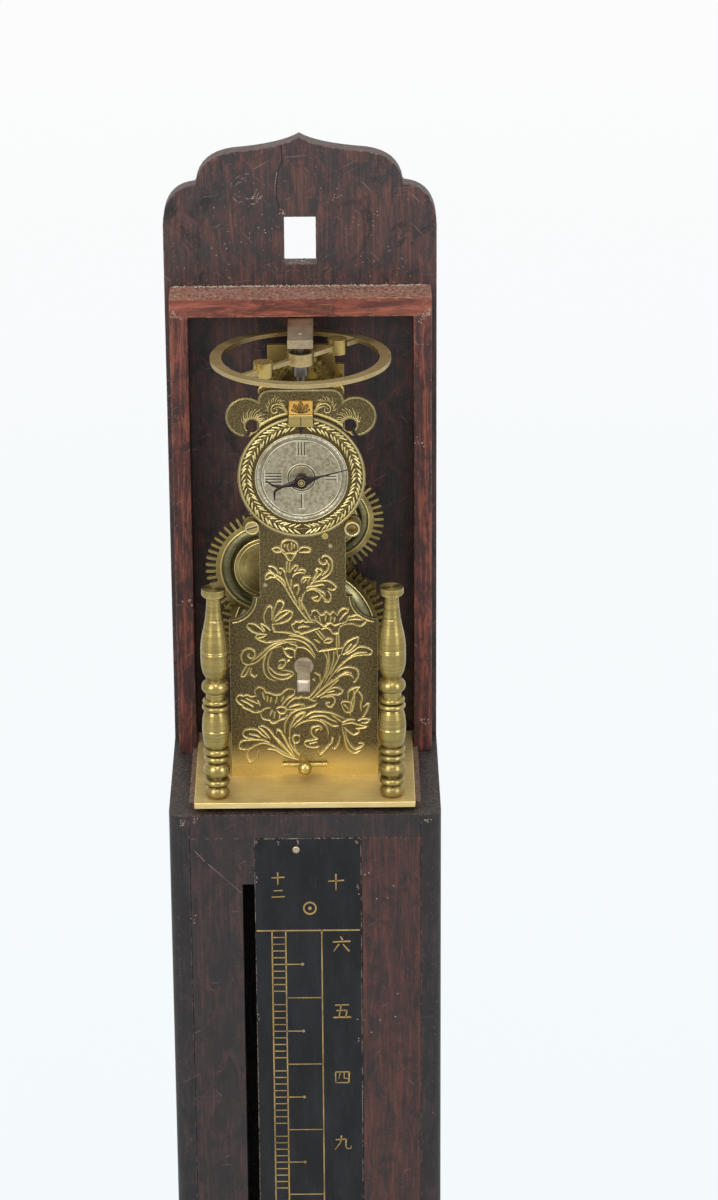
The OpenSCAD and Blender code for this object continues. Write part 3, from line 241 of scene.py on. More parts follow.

# %% [markdown]
# ## Brass
# The movement is cast and turned brass, in an even, slightly green gold. Turned pieces keep
# fine rings from the lathe, which draw a lamp's reflection out into a streak along the
# piece, so the columns' shine is anisotropic. Plates keep fine strokes from the scraper,
# and every hollow holds a brown-green tarnish. Edges are the brightest: partly polish,
# since they get touched first, and partly a painted highlight. The fine marks are about
# 0.1 mm apart, too fine for the render, so they are drawn at 0.35 mm. Chased work is
# rubbed bright where it is raised, and its ground, punched with a small round tool every
# 0.45 mm, keeps its dark patina.

# %% Brass finish
def old_brass(name, bright, dull, marks=None, centre=(0, 0), ground=None, rough=0.3,
              tarnish=0.5, punched=0.0, edge="#F2E6AE", edge_wear_and_highlight=0.6):
    finish, shader, add, mm = start_finish(name, Metallic=1.0)
    cloud = add("TexNoise", {"Vector": mm, "Scale": 1 / 6.0, "Detail": 5.0, "Roughness": 0.65})
    fine = add("TexNoise", {"Vector": mm, "Scale": 1 / 0.5, "Detail": 3.0, "Roughness": 0.6})
    dirt = add("Math", {0: fine, 1: 0.3, 2: cloud}, operation="MULTIPLY_ADD")
    dirt = add("MapRange", {"Value": dirt, "From Min": 0.54, "From Max": 0.8, "To Max": tarnish})
    colour = add("Mix", {0: dirt, 6: linear(bright), 7: linear(dull)}, 2, data_type="RGBA")
    where, scale = mm, {"turned": spots(30, 0.35), "scraped": spots(0.4, 9, 0),
                        "faced": spots(0.5)}.get(marks)
    if marks == "faced":  # rings about the axis of a wheel, which lies along Y
        flat = add("VectorMath", {0: add("VectorMath", {0: mm, 1: (
            centre[0], 0, centre[1] + BASE_Z)}, operation="SUBTRACT"), 1: (1, 0, 1)},
            operation="MULTIPLY")
        where = add("CombineXYZ", {"X": add("VectorMath", {0: flat}, "Value",
                                            operation="LENGTH")})
    normal = None
    if marks:
        tool = add("TexNoise", {"Vector": add("Mapping", {"Vector": where, "Scale": scale}),
                                "Scale": 1.0, "Detail": 3.0, "Roughness": 0.65})
        shade = add("MapRange", {"Value": tool, "From Min": 0.42, "From Max": 0.62,
                                 "To Max": 0.45})
        colour = add("Mix", {0: shade, 6: colour, 7: linear(dull)}, 2, data_type="RGBA")
        normal = add("Bump", {"Height": tool, "Distance": 0.03 * MM, "Strength": 0.5})
    if ground:
        low = add("Mix", {0: add("MapRange", {"Value": fine, "From Min": 0.38,
                                              "From Max": 0.62}),
                          6: linear(ground[0]), 7: linear(ground[1])}, 2, data_type="RGBA")
        foot = add("MapRange", {"Value": add("SeparateXYZ", {"Vector": mm}, "Z"),
                                "From Min": BASE_Z + 3.0, "From Max": BASE_Z + 9.0})
        low = add("Mix", {0: foot, 6: linear(ground[2]), 7: low}, 2, data_type="RGBA")
        raised = add("Attribute", {}, "Fac", attribute_name="relief")
        raised = add("MapRange", {"Value": raised, "From Min": 0.2, "From Max": 0.7})
        colour = add("Mix", {0: raised, 6: low, 7: colour}, 2, data_type="RGBA")
    if punched:
        dots = add("TexVoronoi", {"Vector": mm, "Scale": 1 / 0.45}, "Distance")
        normal = add("Bump", {"Height": dots, "Distance": 0.12 * MM, "Strength": punched})
    # sharp edges take a pale cream: partly polish from handling, partly a painted highlight
    colour = add("Mix", {0: sharp_edges(add, 0.22, 0.86, edge_wear_and_highlight), 6: colour,
                         7: linear(edge)}, 2, data_type="RGBA")
    up = add("SeparateXYZ", {"Vector": add("NewGeometry", {}, "Normal")}, "Z")
    up = add("MapRange", {"Value": up, "From Min": 0.5, "From Max": 0.95, "To Max": 0.14})
    set_inputs(shader, {"Base Color": colour, "Roughness": add("Math", {
        0: add("Math", {0: dirt, 1: 0.3, 2: rough}, operation="MULTIPLY_ADD"), 1: up},
        operation="ADD")})
    if normal:
        set_inputs(shader, {"Normal": normal})
    return finish


GROUND = ("#4C4029", "#706345", "#BDA86F")
plate_brass = old_brass("scraped brass plate", "#BBA267", "#8A7747", "scraped", rough=0.28)
chased_brass = old_brass("chased and punched brass", "#CDB97A", "#A08D52", ground=GROUND,
                         rough=0.34, punched=0.6)
turned_brass = old_brass("turned brass column", "#A5935A", "#6A5B35", "turned", rough=0.26,
                         tarnish=0.45)
set_inputs(turned_brass.node_tree.nodes["Principled BSDF"], {
    "Anisotropic": 0.75, "Anisotropic Rotation": 0.25,
    "Tangent": add_node(turned_brass.node_tree, "Tangent", {}, direction_type="RADIAL",
                        axis="Z")})
small_brass = old_brass("polished small brass", "#B8A262", "#7D6B3D", rough=0.25)
balance_brass = old_brass("filed brass balance", "#BBA678", "#8A784C", "scraped", rough=0.34)
base_brass = old_brass("burnished brass base plate", "#E3CE90", "#C2A86E", "scraped",
                       rough=0.4, tarnish=0.4)
block_brass = old_brass("filed brass block", "#B19D66", "#87733F", "scraped", rough=0.34)
cut_brass = old_brass("brass palmette with dark cuts", "#4A3A22", "#3A2D1A", rough=0.4,
                      ground=("#A98344", "#C29A54", "#A98344"), edge="#D8B468")
wheel_rim = old_brass("polished brass rim of a wheel", "#CDB97F", "#A08A52", rough=0.26,
                      tarnish=0.6)
wheel_dish = old_brass("green tarnish in a wheel's groove", "#7A7452", "#4C4A36", "scraped",
                       rough=0.3, tarnish=0.8, edge_wear_and_highlight=0.0)
dial_brass = old_brass("chased brass wreath", "#D6C890", "#A08D55",
                       ground=("#4A3D24", "#665735", "#4A3D24"), rough=0.36, punched=0.2)
print("brass finishes:", [m.name for m in bpy.data.materials if "brass" in m.name])

# %% [markdown]
# ## Silvered brass, steel and wax
# The dial is silvered brass, worn to a warm grey. The cock, the verge and the arbors are
# iron, which goes brown-grey. The pointers are blued until nearly black, and the engraved
# numerals hold black wax; the same black also serves as painted shade in a slot and round
# pins, and a brighter silver also makes painted highlights. All are clouded by two sizes
# of noise.

# %% Other metals
def plain_metal(name, colour, dark, rough, spot_mm, depth_mm=0.02, metallic=1.0):
    finish, shader, add, mm = start_finish(name, Metallic=metallic)
    cloud = add("TexNoise", {"Vector": mm, "Scale": 1 / (spot_mm * 4), "Detail": 4.0,
                             "Roughness": 0.65})
    fine = add("TexNoise", {"Vector": mm, "Scale": 3 / spot_mm, "Detail": 3.0,
                            "Roughness": 0.7})
    for value, low, high, amount in ((cloud, 0.42, 0.64, 0.8), (fine, 0.5, 0.72, 0.6)):
        colour = add("Mix", {0: add("MapRange", {"Value": value, "From Min": low,
                                                 "From Max": high, "To Max": amount}),
                             6: linear(colour) if isinstance(colour, str) else colour,
                             7: linear(dark)}, 2, data_type="RGBA")
    set_inputs(shader, {"Base Color": colour, "Roughness": add("MapRange", {
        "Value": fine, "From Min": 0.3, "From Max": 0.7, "To Min": rough,
        "To Max": rough + 0.15}), "Normal": add("Bump", {
            "Height": fine, "Distance": depth_mm * MM, "Strength": 0.5})})
    return finish


silvered = plain_metal("matte silvered brass, dial centre", "#ABA48D", "#776D52", 0.42, 0.2,
                       0.05)
# raised rings, and painted highlights along the edge of engraved cuts and of a slot
silver_rings_and_highlights = plain_metal("silvered brass, raised rings and painted highlights", "#DDD8BC", "#B9AF8A", 0.3, 0.9)
band_silver = plain_metal("patchy silvered brass, chapter band", "#BCB5A2", "#736A4E", 0.4,
                          2.2)
worn_steel = plain_metal("scratched grey iron", "#B8A98C", "#887A62", 0.36, 1.6)
bright_steel = plain_metal("bright filed steel", "#B4B1AE", "#827B76", 0.28, 1.2)
square_steel = plain_metal("worn steel winding square", "#C6BAA6", "#988B78", 0.46, 1.4,
                           metallic=0.75)
verge_steel = plain_metal("dark polished steel verge", "#7C756E", "#443E3A", 0.3, 1.0)
blued_steel = plain_metal("dark blued steel", "#40363A", "#29211F", 0.32, 1.0)
# black wax in engraved lines; the same black is painted shade in a slot and round pins
wax_fill_and_painted_shade = plain_metal("black wax in engraving and painted shade in hollows", "#3A352B", "#2A261F", 0.6, 1.0,
                             metallic=0.0)
faint_fill = plain_metal("brown wax worn from shallow cuts", "#71674A", "#5B523A", 0.6, 1.0,
                         metallic=0.0)
print("finishes so far:", len(bpy.data.materials))

# %% [markdown]
# ## Dressing the solids
# The CAD solids keep their shape. Each gets its finish, and on many of them the sharp
# machine-made edges are eased by a narrow bevel, because a real edge always catches a thin
# line of light.
# The bevel needs welded corners, and weighted normals keep the flats flat.

# %% Finishes and eased edges
def dress(finish, *names, ease=0.0):
    for name in names:
        piece = parts[name]
        for slot in piece.material_slots:
            slot.material = finish
        if ease:
            piece.data.shade_smooth()
            piece.modifiers.new("weld", "WELD").merge_threshold = 2e-6
            bevel = piece.modifiers.new("eased edges", "BEVEL")
            bevel.width = ease * MM
            bevel.segments = 2
            bevel.limit_method = "ANGLE"
            bevel.angle_limit = math.radians(38)
            bevel.use_clamp_overlap = True
            flats = piece.modifiers.new("flats", "WEIGHTED_NORMAL")
            flats.keep_sharp = True


dress(board_wood, "backboard", ease=0.35)
dress(rail_wood, "hood_rail_left", "hood_rail_right", ease=0.3)
dress(top_rail_wood, "hood_rail_top", ease=0.3)
dress(side_wood, "trunk_side_left", "trunk_side_right", ease=0.3)
dress(side_wood, "bottom_board", ease=0.2)
dress(panel_wood, "trunk_stile_left", "trunk_rail_low", "drawer_front", "trunk_rail_top",
      ease=0.3)
dress(warm_panel_wood, "trunk_stile_right", ease=0.3)
dress(inside_wood, "scale_batten", "seat_board", "drawer_divider", "drawer_box")
dress(base_brass, "base_plate", ease=0.2)
dress(chased_brass, "front_plate", ease=0.15)
dress(plate_brass, "back_plate")
dress(turned_brass, "column_left", "column_right")
dress(small_brass, "plate_pillars", "dial_clamp_screw", "dial_clamp_collar", "dial_pin",
      "foot_stud", "foot_cross_pin", "drawer_knob", "barrel", "rate_weight_left",
      "rate_weight_right", "crown_wheel", "winding_key", "weight_pointer", "crown_arbor",
      "dial_arbor")
dress(block_brass, "index_block", ease=0.12)
dress(dial_brass, "dial_plate")
dress(silvered, "chapter_disc")
dress(balance_brass, "balance_wheel")
dress(worn_steel, "balance_cock", "potence", ease=0.15)
dress(worn_steel, "second_arbor", "third_arbor")
dress(bright_steel, "cock_screw", "click", "click_spring", "ratchet_wheel")
dress(square_steel, "winding_arbor", ease=0.3)
dress(verge_steel, "verge")
dress(blued_steel, "index_point", "dial_hand")
print("dressed", len(parts), "solids")

# %% [markdown]
# ## Wheels
# Every wheel was faced in the lathe, so its rings of cutter marks run round its own
# centre. The finish therefore knows where each arbor stands.

# %% Wheel finishes
# body, centre as x and height, radius at the teeth's foot, and front face
WHEELS = {"great_wheel": ("great", (0, 30.7), 19.83, -16.0),
          "second_wheel": ("second", (-9.6447, 53.2), 12.84, -25.5),
          "third_wheel": ("third", (7.1419, 63.7), 11.25, -19.0),
          "fourth_wheel": ("dial_train", (0, 82.7022), 11.2, -22.4)}
for name, (_, centre, _, _) in WHEELS.items():
    dress(old_brass("lathe-faced brass, " + name.replace("_", " "), "#B3A167", "#6C5F38",
                    "faced", centre, tarnish=0.7, rough=0.28, edge="#D8C88A"), name)
print("faced wheels:", ", ".join(WHEELS))

# %% [markdown]
# ## Lacquered hour scale, weight and cord
# The scale is near-black lacquer with a soft gloss, rubbed grey in places. The weight is
# brass and the cord is twisted silk: its two plies wind round each other every 1.6 mm,
# which a slanted wave shows on the surface, as a bump and as painted shade that darkens
# the grooves between the plies.

# %% Lacquer, weight and cord finishes
lacquer, shader, add, mm = start_finish("black urushi lacquer, hour scale", IOR=1.5,
                                        Specular_IOR_Level=0.27)
rub, fine, crumbs = (
    add("TexNoise", {"Vector": add("Mapping", {"Vector": mm, "Scale": spots(across, along)}),
                     "Scale": 1.0, "Detail": 5.0, "Roughness": 0.68})
    for across, along in ((5, 18), (0.5, 5), (0.9, 2)))
colour = add("Mix", {0: add("MapRange", {"Value": rub, "From Min": 0.4, "From Max": 0.7}),
                     6: linear("#0A0C10"), 7: linear("#191B1F")}, 2, data_type="RGBA")
colour = add("Mix", {0: add("MapRange", {"Value": fine, "From Min": 0.6, "From Max": 0.74,
                                         "To Max": 0.22}),
                     6: colour, 7: linear("#4E4C49")}, 2, data_type="RGBA")
bare = add("MapRange", {"Value": crumbs, "From Min": 0.45, "From Max": 0.58})
bare = add("Math", {0: sharp_edges(add, 0.4, 0.87), 1: bare}, operation="MULTIPLY")
colour = add("Mix", {0: bare, 6: colour, 7: linear("#A79A85")}, 2, data_type="RGBA")
set_inputs(shader, {"Base Color": colour, "Roughness": add("MapRange", {
    "Value": rub, "From Min": 0.3, "From Max": 0.7, "To Min": 0.3, "To Max": 0.5}),
    "Normal": add("Bump", {"Height": fine, "Distance": 0.03 * MM, "Strength": 0.4})})
dress(lacquer, "scale_board", ease=0.2)
dress(old_brass("cast brass weight", "#A8925A", "#665835", "scraped", tarnish=0.8, rough=0.36),
      "weight_body", ease=0.4)

silk, shader, add, mm = start_finish("twisted brown silk cord", Roughness=0.75)
apart = add("VectorMath", {0: mm, 1: (2.2, 0, 2 * math.pi / 1.6)}, "Value",
            operation="DOT_PRODUCT")
# the plies' wave gives the bump and the colour: darker in the grooves, which is painted shade
ply_relief_and_groove_shade = add("MapRange", {"Value": add("Math", {0: apart}, operation="SINE"), "From Min": -1})
set_inputs(shader, {
    "Base Color": add("Mix", {0: ply_relief_and_groove_shade, 6: linear("#3A2A20"), 7: linear("#7A5C40")}, 2,
                      data_type="RGBA"),
    "Normal": add("Bump", {"Height": ply_relief_and_groove_shade, "Distance": 0.15 * MM, "Strength": 0.8})})
dress(silk, "weight_cord", "cord_turns")

gilt = old_brass("worn gold powder lacquer", "#A98D55", "#6E5C3E", tarnish=0.8, rough=0.45,
                 edge_wear_and_highlight=0.0)
set_inputs(gilt.node_tree.nodes["Principled BSDF"], {"Metallic": 0.6})
print("lacquer, silk and gilding are ready")

# %% [markdown]
# ## Carving tools
# Chasing and engraving stand a few tenths of a millimetre proud, so they are made as real
# geometry. The chaser's tools become functions that raise a height field: a stem, a leaf
# with a rim and a vein, and a plain ridge. Then the raised part is turned into a closed
# shell that stands on its plate. This follows the hand much better than a bump texture,
# and it keeps its outline from the side.

# %% Height fields
LOWEST = 0.006  # mm, anything lower is left as bare ground


class Relief:
    """Heights in mm over a grid of x and height above the base plate."""

    def __init__(self, x0, x1, z0, z1, step):
        self.x = np.arange(x0, x1 + step / 2, step)
        self.z = np.arange(z0, z1 + step / 2, step)
        self.h = np.zeros((len(self.z), len(self.x)))

    def window(self, points, pad):
        low, high = np.min(points, 0) - pad, np.max(points, 0) + pad
        i0, i1 = np.searchsorted(self.x, [low[0], high[0]])
        j0, j1 = np.searchsorted(self.z, [low[1], high[1]])
        return slice(j0, j1), slice(i0, i1)

    def grid(self, part):
        return np.meshgrid(self.x[part[1]], self.z[part[0]])

    def raise_to(self, part, height):
        self.h[part] = np.maximum(self.h[part], height)


def smooth_path(points, count=70):
    """A curve through the points (Catmull-Rom)."""
    p = np.array(points, float)
    q = np.vstack([2 * p[0] - p[1], p, 2 * p[-1] - p[-2]])
    share = max(4, count // (len(p) - 1))
    t = np.linspace(0, 1, share, endpoint=False)[:, None]
    runs = []
    for a, b, c, d in zip(q, q[1:], q[2:], q[3:]):
        runs.append(0.5 * (2 * b + (c - a) * t + (2 * a - 5 * b + 4 * c - d) * t ** 2
                           + (3 * b - a - 3 * c + d) * t ** 3))
    return np.vstack(runs + [p[-1:]])


def nearest(field, path, pad):
    part = field.window(path, pad)
    x, z = field.grid(part)
    apart = (x[..., None] - path[:, 0]) ** 2 + (z[..., None] - path[:, 1]) ** 2
    return part, np.sqrt(apart.min(-1)), apart.argmin(-1) / (len(path) - 1)


def leaf(field, points, width, height):
    part, away, t = nearest(field, smooth_path(points, 80), width + 0.4)
    half = width * (0.24 * (1 - t) ** 0.3 + 0.86 * np.sin(np.pi * t ** 1.6) ** 0.8)
    s = np.clip(away / np.maximum(half, 0.02), 0, 1)
    line = np.clip(0.13 / np.maximum(half, 0.1), 0.12, 0.5)
    rim = np.exp(-((s - 1 + line) / line) ** 2)
    vein = 0.85 * np.exp(-(s / line) ** 2) * (half > 0.3)
    body = height * (0.16 + 0.84 * np.maximum(rim, vein))
    field.raise_to(part, np.where(s < 1, body, 0))


def stem(field, points, width0, width1, height):
    part, away, t = nearest(field, smooth_path(points), max(width0, width1) + 0.5)
    s = np.clip(away / (width0 + (width1 - width0) * t), 0, 1)
    field.raise_to(part, height * np.sqrt(1 - s ** 2))


def ridge(field, points, width, height):
    """A stroke that is widest in its middle, as a chaser's tool leaves it."""
    part, away, t = nearest(field, smooth_path(points), width + 0.3)
    s = np.clip(away / (width * (0.4 + 0.6 * np.sin(np.pi * t) ** 0.6)), 0, 1)
    field.raise_to(part, height * np.sqrt(1 - s ** 2))


print("carving tools: stem, leaf and ridge")

# %% [markdown]
# The shell's front follows the heights, its back lies just inside the plate, and both
# share the rim, so the piece is watertight. It also stores each point's height as an
# attribute, which the brass reads to shine where it is raised.

# %% From heights to a closed shell
def add_piece(name, points, faces, finish, body="case", smooth=True):
    mesh = bpy.data.meshes.new(name)
    mesh.from_pydata([tuple(p) for p in points], [], [tuple(f) for f in faces])
    mesh.materials.append(finish)
    mesh.update()
    if smooth:
        mesh.shade_smooth()
    piece = bpy.data.objects.new(name, mesh)
    bpy.context.scene.collection.objects.link(piece)
    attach(piece, body)
    return piece


def raised_shell(name, field, surface, finish, sunk=0.12):
    """surface(x, z, h) gives the place of a point at height h over the plate."""
    high = field.h > LOWEST
    cells = high[1:, 1:] | high[:-1, 1:] | high[1:, :-1] | high[:-1, :-1]
    rows, cols = np.nonzero(cells)
    padded = np.pad(cells, 1)
    inner = padded[1:, 1:] & padded[:-1, 1:] & padded[1:, :-1] & padded[:-1, :-1]
    used = padded[1:, 1:] | padded[:-1, 1:] | padded[1:, :-1] | padded[:-1, :-1]
    front = np.full(used.shape, -1)
    front[used] = np.arange(used.sum())
    back = front.copy()
    back[inner] = used.sum() + np.arange(inner.sum())
    points, heights = [], []
    for j, i in zip(*np.nonzero(used)):
        h = field.h[j, i] if inner[j, i] else 0.0
        points.append(surface(field.x[i], field.z[j], h if inner[j, i] else -0.03))
        heights.append(h)
    for j, i in zip(*np.nonzero(inner)):
        points.append(surface(field.x[i], field.z[j], -sunk))
        heights.append(0.0)
    faces = []
    for j, i in zip(rows, cols):
        corners = ((j, i), (j, i + 1), (j + 1, i + 1), (j + 1, i))
        faces.append([front[c] for c in corners])
        faces.append([back[c] for c in reversed(corners)])
    piece = add_piece(name, points, faces, finish)
    height = piece.data.attributes.new("relief", "FLOAT", "POINT")
    height.data.foreach_set("value", np.array(heights, np.float32) / field.h.max())
    print(name, len(points), "points, raised", round(float(field.h.max()), 2), "mm")


def on_plate(face_y):
    return lambda x, z, h: place(x, face_y - h, z)


def soften(field):
    h = np.pad(field.h, 1, mode="edge")
    mean = (h[:-2, 1:-1] + h[2:, 1:-1] + h[1:-1, :-2] + h[1:-1, 2:]) / 4
    field.h = np.where(field.h > LOWEST, 0.55 * field.h + 0.45 * mean, 0)


print("heights under", LOWEST, "mm are left as ground")

# %% [markdown]
# ## Chasing of the front plate
# Two peonies with scrolling leaves climb the front plate. The chaser pushes the ground
# down with a punch and leaves every outline, rib and vein standing as a bright ridge about
# half a millimetre wide. The strokes below follow the clock's own design. Their points
# were placed on three enlargements of the photograph, as columns and rows of the
# enlargement. Four heights of the plate, as the photograph shows them, tell where the
# points lie in millimetres.

# %% Strokes of the scroll
MIDDLE_STROKES = [
    [(400, 240), (385, 160), (410, 90), (440, 60), (462, 75), (466, 130), (460, 200)],
    [(470, 200), (490, 100), (520, 30), (550, 5), (585, 40), (560, 100), (500, 170), (480, 200)],
    [(475, 235), (500, 180), (560, 125), (620, 105), (675, 130), (650, 190), (600, 225),
     (540, 240), (475, 245)],
    [(500, 215), (560, 180), (640, 125)],
    [(470, 245), (480, 290), (500, 330)],
    [(225, 235), (215, 270), (260, 315), (320, 340), (400, 345)],
    [(225, 235), (290, 245), (350, 290), (380, 325)],
    [(350, 235), (400, 260), (450, 310)],
    [(350, 240), (370, 280), (400, 320)],
    [(420, 350), (340, 345), (300, 380), (360, 415), (430, 430), (560, 410), (700, 400)],
    [(300, 385), (360, 380), (410, 355)],
    [(480, 325), (600, 330), (720, 355), (820, 400), (890, 460), (940, 540)],
    [(640, 395), (740, 410), (830, 460), (915, 570)],
    [(600, 400), (700, 400), (800, 440), (880, 510)],
    [(640, 360), (760, 380), (850, 430)],
    [(715, 430), (620, 430), (520, 460), (440, 510), (370, 580), (300, 630), (220, 655),
     (170, 635)],
    [(620, 420), (500, 440), (420, 490), (340, 560), (260, 620)],
    [(170, 640), (155, 570), (180, 510), (240, 490), (290, 520), (290, 570), (250, 590),
     (220, 565), (240, 540)],
    [(215, 660), (190, 700), (150, 770)],
    [(150, 775), (190, 770), (215, 730), (240, 680)],
    [(260, 690), (250, 740), (290, 780), (325, 750)],
    [(560, 470), (450, 500), (400, 570), (380, 650), (390, 730), (430, 790), (510, 825)],
    [(470, 520), (430, 600), (430, 700), (470, 770), (560, 805), (640, 790), (690, 745),
     (640, 720), (560, 710)],
    [(440, 680), (500, 740), (580, 760), (660, 750)],
    [(540, 620), (590, 610), (605, 650), (570, 690), (530, 690), (560, 650)],
    [(580, 480), (600, 540), (640, 580), (680, 580)],
    [(600, 500), (650, 490), (700, 520), (700, 570)],
    [(640, 440), (720, 470), (700, 530), (705, 600)],
    [(720, 480), (800, 490), (860, 540), (910, 600)],
    [(650, 610), (620, 630)],
    [(680, 290), (670, 255), (700, 240), (720, 218), (755, 226), (780, 212), (815, 228),
     (850, 225), (900, 235)],
    [(680, 290), (700, 322), (735, 326), (765, 346), (800, 338), (850, 325), (910, 300),
     (960, 290)],
    [(730, 290), (780, 270), (850, 275)],
    [(865, 160), (880, 115), (920, 108), (960, 152), (1000, 150), (1020, 122), (1060, 152),
     (1090, 122), (1130, 160)],
    [(1130, 165), (1160, 120), (1200, 90), (1240, 105), (1235, 130), (1200, 160), (1150, 220)],
    [(1150, 250), (1220, 230), (1250, 180), (1290, 172), (1330, 160), (1365, 172), (1395, 165),
     (1412, 190), (1432, 210), (1410, 250), (1360, 270), (1280, 250), (1200, 255), (1150, 290)],
    [(1250, 210), (1320, 200), (1390, 210)],
    [(970, 300), (1020, 285), (1060, 310), (1090, 345), (1140, 340), (1150, 290)],
    [(880, 200), (940, 230), (1000, 270), (1060, 240), (1110, 265), (1170, 240)],
    [(900, 165), (920, 220)],
    [(950, 165), (960, 225)],
    [(1020, 160), (1010, 220)],
    [(1070, 170), (1060, 220)],
    [(1110, 180), (1100, 230)],
    [(680, 0), (740, 90), (800, 170), (860, 235)],
    [(760, 0), (800, 90), (850, 180), (880, 230)],
    [(910, 320), (960, 380), (990, 410)],
    [(940, 310), (990, 370), (1010, 400)],
    [(900, 400), (940, 430), (960, 440)],
    [(990, 430), (1030, 400), (1085, 405), (1060, 435), (1000, 435)],
    [(1130, 345), (1125, 420), (1130, 520), (1140, 590)],
    [(1150, 340), (1150, 420), (1155, 500)],
    [(1170, 560), (1200, 480), (1260, 420), (1350, 380)],
    [(1350, 380), (1330, 450), (1260, 520), (1190, 560)],
    [(1210, 540), (1280, 450)],
    [(1230, 560), (1300, 520), (1360, 485), (1430, 490), (1490, 520)],
    [(1490, 520), (1470, 560), (1400, 565), (1310, 575), (1240, 610), (1160, 680), (1080, 770),
     (1000, 880)],
    [(1440, 540), (1340, 545), (1260, 580)],
    [(1130, 740), (1180, 700), (1260, 690), (1330, 710), (1350, 770), (1320, 830), (1295, 835)],
    [(1010, 890), (1090, 830), (1160, 780), (1220, 760), (1270, 770), (1300, 800)],
    [(1170, 770), (1230, 740), (1280, 750)],
    [(990, 520), (1030, 600), (1020, 700), (990, 800), (950, 900)],
    [(1040, 520), (1050, 600), (1040, 700), (1010, 790)],
    [(1100, 530), (1090, 620), (1060, 720), (1000, 840)],
    [(1160, 560), (1120, 650), (1060, 760)],
    [(950, 525), (1050, 510), (1180, 490)],
    [(900, 740), (950, 770), (960, 820)],
    [(880, 800), (910, 825)],
]
